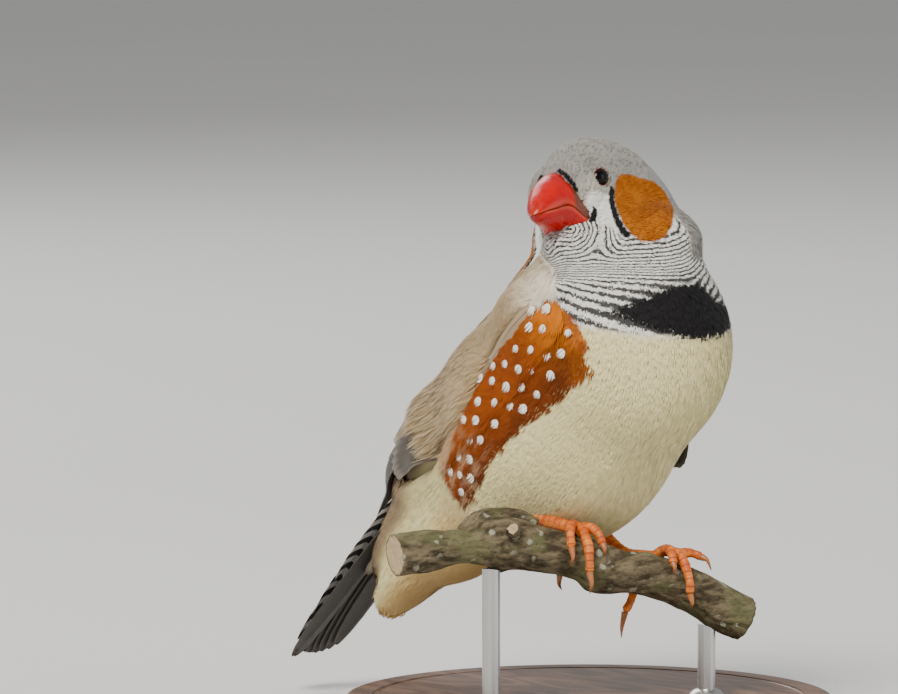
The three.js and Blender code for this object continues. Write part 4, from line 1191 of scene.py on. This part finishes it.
# Eyes: a ball, with the pupil and iris as rings round its axis, and a lid of small scales
def eyeMaterial():
    material, tree = newMaterial("eyeWet")
    ring = stored(tree, "gaze")[0]
    coords = objectCoords(tree)
    streak = noise(tree, coords, 3000, 2)
    iris = blend(tree, streak, (0.05, 0.004, 0.003), (0.13, 0.01, 0.006))
    ragged = plus(tree, ring, times(tree, streak, 0.04))
    pupilEdge = cut(tree, ragged, eye["pupil"], eye["pupil"] + 0.08)
    irisEdge = cut(tree, ring, eye["iris"] - 0.06, eye["iris"] + 0.04)
    colour = blend(tree, pupilEdge, (0.002, 0.0015, 0.0015), iris)
    colour = blend(tree, irisEdge, colour, (0.008, 0.004, 0.003))
    finishMaterial(tree, colour, cut(tree, streak, 0.0, 1.0, (0.04, 0.07)), Specular_IOR_Level=0.2)
    return material

def lidMaterial():
    material, tree = newMaterial("eyeLid")
    coords = objectCoords(tree)
    scale = cellNoise(tree, coords, 3200.0)
    colour = blend(tree, cut(tree, scale, 0.1, 0.6), (0.4, 0.37, 0.33), (0.13, 0.11, 0.1))
    patches = cut(tree, noise(tree, coords, 900), 0.45, 0.65, (0.0, 0.5))
    colour = blend(tree, patches, colour, (0.5, 0.3, 0.2))
    finishMaterial(tree, colour, 0.6, minus(tree, 1.0, scale), 0.00008, 0.8, Specular_IOR_Level=0.3)
    return material

def aroundAxis(axis):
    # two unit vectors square to the axis
    first = unit(np.cross(axis, [0.0, 0.0, 1.0]))
    return first, np.cross(axis, first)

def buildEyeBall(name, sign, material):
    centre, axis = eyeCentre(sign), eyeOutward(sign)
    p, q = aroundAxis(axis)
    f, t = np.meshgrid(np.linspace(0, np.pi, 42)[1:-1], onceRound(48), indexing="ij")
    ways = (axis * np.cos(f)[..., None] + p * (np.sin(f) * np.cos(t))[..., None]
            + q * (np.sin(f) * np.sin(t))[..., None])
    cornea = 1 + 0.03 * bell(f / 0.5)
    points, faces = closedTube(centre + ways * (eye["radius"] * cornea)[..., None])
    points[-2:] = centre + axis * eye["radius"] * 1.03, centre - axis * eye["radius"]
    # gaze: distance from the axis in front, and more than that behind
    gaze = np.append(eye["radius"] * np.sin(f).ravel(), [0, 0])
    gaze = np.where((points - centre) @ axis < 0, 2.0, gaze)
    uv = np.clip(0.5 + np.stack([(points - centre) @ p, (points - centre) @ q], -1) * 0.3, 0, 1)
    addMesh(f"eyeBall{name}", points, turnedOut(points, faces), material,
            dict(gaze=np.stack([gaze, gaze * 0, gaze * 0], -1)), uv, replaced=(f"eye_{name.lower()}",))

def buildLid(name, sign, material):
    # a ring with small beads, pulled to a low corner before and behind the eye
    centre, axis = eyeCentre(sign), eyeOutward(sign)
    p, q = aroundAxis(axis)
    around, thin = 96, 12
    a, b = np.meshgrid(onceRound(around), onceRound(thin), indexing="ij")
    corner = 1 + 0.07 * np.abs(np.cos(a))**8
    thick = eye["lidThick"] * (0.82 + 0.12 * np.cos(a * 21) * np.cos(b))
    far = eye["lidRadius"] * corner + thick * np.cos(b)
    points = (centre + axis * (eye["lidOut"] + thick * np.sin(b))[..., None]
              + p * (far * np.cos(a))[..., None] + q * (far * np.sin(a))[..., None]).reshape(-1, 3)
    i, j = np.meshgrid(np.arange(around), np.arange(thin), indexing="ij")
    nextRing, nextPoint = (i + 1) % around * thin, (j + 1) % thin
    quads = np.stack([i * thin + j, nextRing + j, nextRing + nextPoint, i * thin + nextPoint], -1)
    quads = quads.reshape(-1, 4)
    triangles = np.concatenate([quads[:, [0, 1, 2]], quads[:, [0, 2, 3]]])
    uv = np.stack([a.ravel() / 6.3, b.ravel() / 6.3], -1)
    addMesh(f"eyeLid{name}", points, turnedOut(points, triangles), material, uv=uv)

def buildEyes():
    wet, lid = eyeMaterial(), lidMaterial()
    for sign, name in ((-1, "Right"), (1, "Left")):
        buildEyeBall(name, sign, wet)
        buildLid(name, sign, lid)
    print("eyes ready")


# Perch: a crooked length of branch
perch = dict(
    turn=23, steps=190, barkUnder=0.12,
    # along, rise, radius
    rows=[[-36, 4.4, 2.9], [-32, 4.7, 2.9], [-28, 4.9, 2.5], [-25, 5.2, 2.7], [-22, 5.5, 3.5],
          [-19, 5.1, 3.6], [-15.6, 4.3, 3.2], [-12, 3.55, 3], [-8.5, 2.5, 3.05], [-5, 1, 3.4], [-2, 0.5, 3],
          [1.5, -0.2, 2.9], [5, -1.3, 3], [8.5, -3.1, 3.05], [12, -5, 3.1], [15.5, -6.6, 3.15]],
    # distance from the outer end, turn round the branch, height
    knots=((13, 1.9, 0.7), (15.5, 4.4, 0.8), (30, 5.0, 0.6), (37, 1.2, 0.4), (22, 3.6, 0.5), (45, 3.4, 0.5)),
    # a broken side twig on top at the outer end, and a short stub in front: path as along, angle and
    # distance from the middle line; radius at both ends; seed
    twigs=(([[-26, -8, 2.0], [-23, -14, 3.6], [-18.5, -22, 4.3], [-14.5, -28, 3.9]], (1.0, 0.7), 5),
           ([[-20, 60, 2.0], [-20.5, 62, 4.2], [-21.4, 66, 5.8]], (1.1, 0.75), 7)),
)
perchTurn = np.radians(perch["turn"])
perchAcross = np.array([np.cos(perchTurn), -np.sin(perchTurn), 0])
perchAhead = np.array([-np.sin(perchTurn), -np.cos(perchTurn), 0])
upright = np.array([0, 0, 1.0])

def perchPoint(along, angle, radius):
    along, angle, radius = (np.asarray(v, float) for v in (along, angle, radius))
    rise = smoothRow(perch["rows"], along)[..., 0]
    turned = np.radians(angle)
    return (perchMiddle + perchAcross * along[..., None] + perchAhead * (np.sin(turned) * radius)[..., None]
            + upright * (rise + np.cos(turned) * radius)[..., None])

def barkMaterial():
    # grey-brown bark with length-wise cracks, an olive film and pale spots of lichen
    material, tree = newMaterial("bark")
    coords = objectCoords(tree)
    cracks = noise(tree, objectCoords(tree, (0.25, 1, 1)), 900, 5, 0.6)
    broad = noise(tree, coords, 170, 3)
    depth, end, _ = stored(tree, "bark")
    colour = blend(tree, cut(tree, cracks, 0.35, 0.65), (0.045, 0.034, 0.019), (0.185, 0.148, 0.088))
    colour = blend(tree, cut(tree, broad, 0.45, 0.62, (0.0, 0.6)), colour, (0.14, 0.138, 0.062))
    lichen = plus(tree, cellNoise(tree, coords, 520.0), times(tree, noise(tree, coords, 1800, 2), 0.35))
    lichen = times(tree, cut(tree, lichen, 0.5, 0.38), cut(tree, noise(tree, coords, 240, 1), 0.48, 0.58))
    colour = blend(tree, times(tree, lichen, 0.8), colour, (0.36, 0.35, 0.26))
    # painted shade: darker where the bark lies deep between its ridges
    colour = blend(tree, cut(tree, depth, 0.2, 1.0, (0.0, 0.65)), colour, (0.035, 0.028, 0.02))
    wood = blend(tree, noise(tree, coords, 1200, 3), (0.42, 0.3, 0.17), (0.56, 0.43, 0.27))
    colour = blend(tree, end, colour, wood)
    height = plus(tree, cracks, times(tree, lichen, 0.3))
    finishMaterial(tree, colour, 0.88, height, 0.0005, 0.9, Specular_IOR_Level=0.15)
    return material

def tubeGrid(centres, guide, around):
    # rings square to a path: the way out at each of their points, how far along the path it is, and its
    # turn round it, which starts at a right angle to the guide
    ahead = unit(np.gradient(centres, axis=0))
    across = unit(np.cross(ahead, guide))
    up = np.cross(across, ahead)
    t = onceRound(around)
    ways = across[:, None] * np.cos(t)[None, :, None] + up[:, None] * np.sin(t)[None, :, None]
    far = np.concatenate([[0], np.cumsum(np.linalg.norm(np.diff(centres, axis=0), axis=1))])
    return (ways, *np.meshgrid(far, t, indexing="ij"))

def barkTube(centres, radii, guide, seed, around=56, knots=()):
    # the radius has ridges along the path, soft lumps and knots
    ways, far, turn = tubeGrid(centres, guide, around)
    warped = turn + 0.25 * np.sin(far * 0.35 + seed)
    ridge = np.abs(np.sin(warped * 7 + np.sin(far * 0.9 + 3 * np.sin(turn + seed)) * 1.1))**0.6
    lumps = waves(centres[:, None] + ways * 3, 0.9, seed, 3).reshape(far.shape)
    rough = 0.24 * (ridge - 0.8) + 0.22 * lumps
    for knotAt, knotTurn, knotHigh in knots:
        apart = np.angle(np.exp(1j * (turn - knotTurn)))
        rough = rough + knotHigh * bell((far - knotAt) / 1.3) * bell(apart / 0.5)
    rings = centres[:, None] + ways * (radii[:, None] + rough)[..., None]
    # with it, how deep each point lies between the ridges, which the bark's colour darkens as painted shade
    return rings, np.clip(1 - ridge * 1.3, 0, 1)

def closeBark(rings, depth):
    # adds the cut ends: flat discs of pale wood, each of four rings that shrink to the middle
    shares = np.array([0.05, 0.45, 0.86, 0.93])[:, None, None]
    start, stop = (ring.mean(0) + (ring - ring.mean(0)) * shares for ring in (rings[0], rings[-1]))
    every = np.concatenate([start, rings, stop[::-1]])
    around = rings.shape[1]
    end = np.concatenate([np.ones(3), [0.4], np.zeros(len(rings)), [0.4], np.ones(3)])
    end = np.repeat(end[:, None], around, 1)
    depth = np.concatenate([np.zeros((4, around)), depth, np.zeros((4, around))])
    points, faces = closedTube(every)
    depth, end = np.append(depth.ravel(), [0, 0]), np.append(end.ravel(), [1, 1])
    return points, turnedOut(points, faces), dict(bark=np.stack([depth, end, 0 * end], -1))

def buildPerch():
    bark = barkMaterial()
    along = np.linspace(perch["rows"][0][0], perch["rows"][-1][0], perch["steps"])
    centres = perchPoint(along, 0 * along, 0 * along)
    radii = smoothRow(perch["rows"], along)[:, 1] - perch["barkUnder"]
    parts = [closeBark(*barkTube(centres, radii, upright, 3, knots=perch["knots"]))]
    for path, thick, seed in perch["twigs"]:
        line = smoothPath(perchPoint(*np.array(path).T), 40)
        parts.append(closeBark(*barkTube(line, np.linspace(*thick, 40), [0.3, 0.2, 1.0], seed, around=24)))
    points, faces, info = joinAll(parts)
    addMesh("perchBark", points, faces, bark, info, replaced=("perch",))
    print("perch ready")


# Feet: scaled toes and shank, and curved claws
feet = dict(
    toeRadius=0.7, shankRadius=0.85, platePitch=0.92, shankPitch=0.95, clawRadius=(0.5, 0.06),
    # toes as along, turn round the perch and height above it, the last of each for its claw's tip; shanks
    # as x, y and z from the perch's middle
    right=dict(
        toes=[[[-8.9, -15, 0.6], [-9.2, 19, 0.6], [-9.4, 62, 0.4], [-9.5, 92, 0.6], [-9.5, 110, 0.9],
               [-9.5, 136, 2.5]],
              [[-8.8, -10, 0.6], [-8.3, 14, 1.1], [-7.6, 32, 1.3], [-7.3, 51, 0.9], [-7.2, 72, 0.1]],
              [[-9, -10, 0.6], [-10.6, 10, 0.8], [-11.6, 40, 0.5], [-12, 74, 0.4], [-12.1, 112, 0.3]],
              [[-8.9, -15, 0.6], [-9.4, -50, 0.5], [-9.9, -95, 0.5], [-10.4, -130, 0.6], [-10.8, -160, 1.6]]],
        shank=[[-8.3, 2.6, 6.3], [-8.4, 7, 7], [-8.6, 12, 8], [-8.5, 17, 11]]),
    left=dict(
        toes=[[[4.3, -15, 0.7], [4.9, 10, 0.7], [5.4, 35, 0.4], [5.6, 75, 0.2], [5.7, 104, 0.2],
               [5.9, 128, 0.9]],
              [[4.2, -15, 0.7], [3.8, 15, 0.9], [3.4, 39, 1], [3.3, 54, 0.7], [3.2, 75, 0.1]],
              [[4.4, -13, 0.7], [6.4, -9, 1.1], [8, -4, 1.8], [9.1, 4, 1.9], [9.9, 20, 0.9]],
              [[4.1, -20, 0.7], [3.2, -60, 0.6], [1.8, -100, 0.9], [0.2, -141, 1.5], [-0.6, -149, 3],
               [-1.3, -162, 6]]],
        shank=[[4.2, 0.2, 2], [4.4, 3, 1.9], [4.5, 7.1, 2.2], [5, 12, 5.5], [5.5, 16, 10]]),
)

def scaleMaterial():
    # orange scales: pale faces, darker grooves, and small bumps
    material, tree = newMaterial("legScales")
    coords = objectCoords(tree)
    groove = stored(tree, "scute")[0]
    broad = noise(tree, coords, 700, 3)
    colour = blend(tree, cut(tree, broad, 0.35, 0.65), (0.52, 0.095, 0.008), (0.78, 0.215, 0.022))
    colour = blend(tree, cut(tree, groove, 0.3, 0.95, (0.0, 0.6)), colour, (0.24, 0.035, 0.008))
    finishMaterial(tree, colour, 0.5, minus(tree, 0.0, cellNoise(tree, coords, 2600.0)), 0.00008, 0.6,
                   Specular_IOR_Level=0.4, Subsurface_Weight=0.06, Subsurface_Scale=0.0008)
    return material

def clawMaterial():
    material, tree = newMaterial("clawHorn")
    coords = objectCoords(tree)
    fibre = noise(tree, objectCoords(tree, (1, 0.3, 1)), 1500, 3)
    colour = blend(tree, fibre, (0.26, 0.075, 0.022), (0.5, 0.18, 0.05))
    tip = stored(tree, "scute")[1]
    colour = blend(tree, cut(tree, tip, 0.5, 1.0, (0.0, 0.8)), colour, (0.1, 0.04, 0.022))
    rough = cut(tree, noise(tree, coords, 800), 0.3, 0.7, (0.25, 0.4))
    finishMaterial(tree, colour, rough, fibre, 0.00003, 0.5)
    return material

def scaledTube(centres, radii, guide, pitch, around=20):
    # tube whose upper side has plates: a saw-tooth along it; attribute scute is deep in the grooves
    ways, far, turn = tubeGrid(centres, guide, around)
    saw = (far / pitch) % 1
    plate = ease((np.sin(turn) + 0.35) / 0.6)
    pads = 0.05 * np.cos(far * 2 * np.pi / (pitch * 2.3)) * ease((-np.sin(turn) - 0.1) / 0.6)
    factor = 1 + (0.12 * saw - 0.05) * plate + pads
    rings = centres[:, None] + ways * (radii[:, None] * factor)[..., None]
    groove = np.maximum(bell(saw / 0.15), bell((1 - saw) / 0.15)) * plate
    return rings, groove

def perchPath(rows, count):
    # the path over the perch, and the way out from the perch's middle line at each of its points
    rows = np.array(rows, float)
    radius = readRow(perch["rows"], rows[:, 0])[:, 1] + rows[:, 2] + feet["toeRadius"] * 0.7
    path = smoothPath(perchPoint(rows[:, 0], rows[:, 1], radius), count)
    return path, unit(path - smoothPath(perchPoint(rows[:, 0], rows[:, 1], 0 * radius), count))

def tubePart(rings, groove, tip=0.0):
    # attribute scute: groove, and the share of the way to a claw's tip
    points, faces = closedTube(rings)
    share = np.repeat(np.linspace(0, 1, len(rings))[:, None], rings.shape[1], 1)
    groove, share = np.append(groove.ravel(), [0, 0]), np.append(share.ravel(), [0, 1]) * tip
    return points, turnedOut(points, faces), dict(scute=np.stack([groove, share, 0 * share], -1))

def toePart(toe):
    # two swellings along the toe, and a narrow end where the claw leaves it
    line, outward = perchPath(toe[:-1], 90)
    share = np.linspace(0, 1, len(line))
    thick = feet["toeRadius"] * mix(1.02, 0.78, share) * (1 + 0.09 * np.cos(share * 4 * np.pi))
    thick = thick * (1 - 0.45 * ease((share - 0.93) / 0.07))
    return tubePart(*scaledTube(line, thick, outward, feet["platePitch"]))

def clawPart(toe):
    # a smooth hook from the toe's end; the pitch is longer than the claw, so it has no plates
    root, end = np.array(toe[-2], float), np.array(toe[-1], float)
    knee = mix(root, end, 0.5) + [0, 0, 0.45]
    path, outward = perchPath([root, knee, end], 40)
    path = path + (path[1] - path[0]) * 0.4
    thick = mix(*feet["clawRadius"], np.linspace(0, 1, len(path))**0.9)
    rings, groove = scaledTube(path, thick, outward, 50.0, 16)
    return tubePart(rings, groove * 0, 1.0)

def shankPart(shank):
    # thicker at the foot and towards the feathered leg
    bone = smoothPath(perchMiddle + np.array(shank), 90)
    share = np.linspace(0, 1, len(bone))
    swell = 1 + 0.12 * bell((share - 0.02) / 0.12) + 0.25 * ease((share - 0.6) / 0.4)
    return tubePart(*scaledTube(bone, feet["shankRadius"] * swell, perchAhead, feet["shankPitch"], 24))

def buildFeet():
    scales, horn = scaleMaterial(), clawMaterial()
    for name in ("right", "left"):
        toes = feet[name]["toes"]
        for k, toe in enumerate(toes):
            points, faces, info = clawPart(toe)
            addMesh(f"claw{name.title()}{k + 1}", points, faces, horn, info,
                    replaced=(f"claw_{name}_{k + 1}",))
        points, faces, info = joinAll([toePart(toe) for toe in toes] + [shankPart(feet[name]["shank"])])
        addMesh(f"leg{name.title()}", points, faces, scales, info, replaced=(f"leg_{name}",))
    print("feet ready")


# Stand: a turned wooden base and two plain rods
stand = dict(radius=33, thickness=4, bevel=0.8, grooveIn=4.2, grooveHalf=0.5, grooveDeep=0.35)
# a rod's collar as heights and radii
collar = dict(high=(4.0, 4.25, 4.9, 5.2), radius=(2.6, 2.5, 1.9, 1.3))

def woodMaterial():
    material, tree = newMaterial("baseWood")
    grain = noise(tree, objectCoords(tree, (1, 0.12, 1)), 420, 6, 0.6)
    warp = noise(tree, objectCoords(tree, (1, 0.3, 1)), 60, 2)
    rings = zigzag(tree, times(tree, warp, 14.0))
    colour = blend(tree, cut(tree, rings, 0.1, 0.9), (0.085, 0.038, 0.018), (0.17, 0.085, 0.042))
    colour = blend(tree, cut(tree, grain, 0.4, 0.7, (0.0, 0.6)), colour, (0.05, 0.022, 0.011))
    rough = cut(tree, grain, 0.3, 0.8, (0.34, 0.5))
    finishMaterial(tree, colour, rough, grain, 0.00008, 0.5, Coat_Weight=0.15, Coat_Roughness=0.35)
    return material

def steelMaterial():
    material, tree = newMaterial("brushedSteel")
    lines = noise(tree, objectCoords(tree, (1, 1, 60)), 260, 4)
    scratches = noise(tree, objectCoords(tree, (1, 1, 0.04)), 2600, 3)
    colour = blend(tree, lines, (0.5, 0.5, 0.49), (0.66, 0.66, 0.65))
    rough = cut(tree, lines, 0.3, 0.7, (0.28, 0.42))
    finishMaterial(tree, colour, rough, scratches, 0.00002, 0.5, Metallic=1.0)
    return material

def lathe(profile, x=0, y=0):
    # a profile of radius and height turned round an upright axis
    t = onceRound(128)
    radius, high = profile[:, :1], profile[:, 1:]
    return closedTube(np.stack([x + radius * np.cos(t), y + radius * np.sin(t), high + 0 * t], -1))

def buildStand():
    # the base has an eased rim and a shallow groove; the rods keep their shape and get a collar each
    r, h, b = stand["radius"], stand["thickness"], stand["bevel"]
    edge = np.radians(np.linspace(-90, 0, 7))
    rim = lambda z, a: np.stack([r - b + b * np.cos(a), z + b * np.sin(a)], -1)
    bow = np.linspace(0, np.pi, 7)
    groove = np.stack([r - stand["grooveIn"] + stand["grooveHalf"] * np.cos(bow),
                       h - stand["grooveDeep"] * np.sin(bow)], -1)
    profile = [[[1, 0]], rim(b, edge), rim(h - b, edge + np.pi / 2), groove, [[r * 0.5, h], [1, h]]]
    points, faces = lathe(np.concatenate(profile))
    addMesh("standDisc", points, turnedOut(points, faces), woodMaterial(), replaced=("stand_base",),
            smooth=False)
    steel = steelMaterial()
    for k in (1, 2):
        name = f"stand_rod_{k}"
        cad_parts[name].material_slots[0].material = steel
        low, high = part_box(name)
        centre = (low + high) / 2 * 1000  # in mm
        points, faces = lathe(np.c_[collar["radius"], collar["high"]], centre.x, centre.y)
        addMesh(f"standCollar{k}", points, turnedOut(points, faces), steel)
    print("stand ready")


# Camera, light and floor
def buildView():
    a, e = np.radians(photo["azimuth"]), np.radians(photo["elevation"])
    back = np.array([np.sin(a) * np.cos(e), -np.cos(a) * np.cos(e), np.sin(e)])
    right = np.array([np.cos(a), np.sin(a), 0])
    up = np.cross(back, right)
    k, (px, py) = photo["pixelsPerMm"], photo["perchAt"]
    target = perchMiddle + right * (photo["width"] / 2 - px) / k + up * (py - photo["height"] / 2) / k
    data = bpy.data.cameras.new("photoCamera")
    data.sensor_width = 36
    data.lens = k * data.sensor_width * photo["distance"] / photo["width"]
    data.clip_start, data.clip_end = 0.05, 20
    camera = bpy.data.objects.new("photoCamera", data)
    basis = Matrix([[*row] for row in np.stack([right, up, back], 1)]).to_4x4()
    basis.translation = (target + back * photo["distance"]) * mm
    camera.matrix_world = basis
    bpy.context.scene.collection.objects.link(camera)
    bpy.context.scene.camera = camera

def addLight(name, at, size, power, colour=(1, 1, 1)):
    data = bpy.data.lights.new(name, "AREA")
    data.size, data.energy, data.color = size, power, colour
    light = bpy.data.objects.new(name, data)
    aim = Vector((0, 0, 0.06)) - Vector(at)
    light.location = at
    light.rotation_euler = aim.to_track_quat("-Z", "Y").to_euler()
    bpy.context.scene.collection.objects.link(light)

def buildStudio():
    material, tree = newMaterial("paleFloor")
    coords = objectCoords(tree)
    colour = blend(tree, noise(tree, coords, 6, 2), (0.66, 0.66, 0.65), (0.7, 0.7, 0.69))
    finishMaterial(tree, colour, 0.85)
    half = 3000.0 * mm
    floor = bpy.data.meshes.new("floor")
    corners = [(x * half, y * half, 0) for x, y in ((-1, -1), (1, -1), (1, 1), (-1, 1))]
    floor.from_pydata(corners, [], [(0, 1, 2, 3)])
    floor.materials.append(material)
    made = bpy.data.objects.new("floor", floor)
    bpy.context.scene.collection.objects.link(made)
    world = bpy.data.worlds.new("studio")
    world.use_nodes = True
    background = world.node_tree.nodes["Background"].inputs
    background[0].default_value = (0.9, 0.9, 0.9, 1)
    background[1].default_value = 0.42
    bpy.context.scene.world = world
    addLight("key", (-0.85, -0.3, 0.95), 0.5, 21, (1, 0.965, 0.9))
    addLight("fill", (0.3, -1.0, 0.4), 0.9, 4, (0.97, 0.98, 1))
    addLight("rim", (0.3, 0.8, 0.7), 0.6, 6)

buildView()
buildStudio()
print("camera and light ready")
# the skin under the coat is painted in shade, its colours darkened to 0.8
rings, skinUv = buildSkin(plumageMaterial("plumageSkin", 0.8))
print("skin ready")
feathers = buildCoat(rings, skinUv)
buildFlank(feathers)
buildShoulder(feathers)
wingVanes = vaneMaterial("wingVane")
for name, seed in (("Right", 500), ("Left", 700)):
    buildVanes(name, wing[name.lower()], wingVanes, seed)
    buildCoverts(name, wing[name.lower()], feathers, seed)
buildTail(vaneMaterial("tailVane", (0.12, 0.1, 0.085)), vaneMaterial("tailBars", bars=True))
buildBill(billMaterial())
buildEyes()
buildPerch()
buildFeet()
buildStand()

bpy.context.view_layer.update()
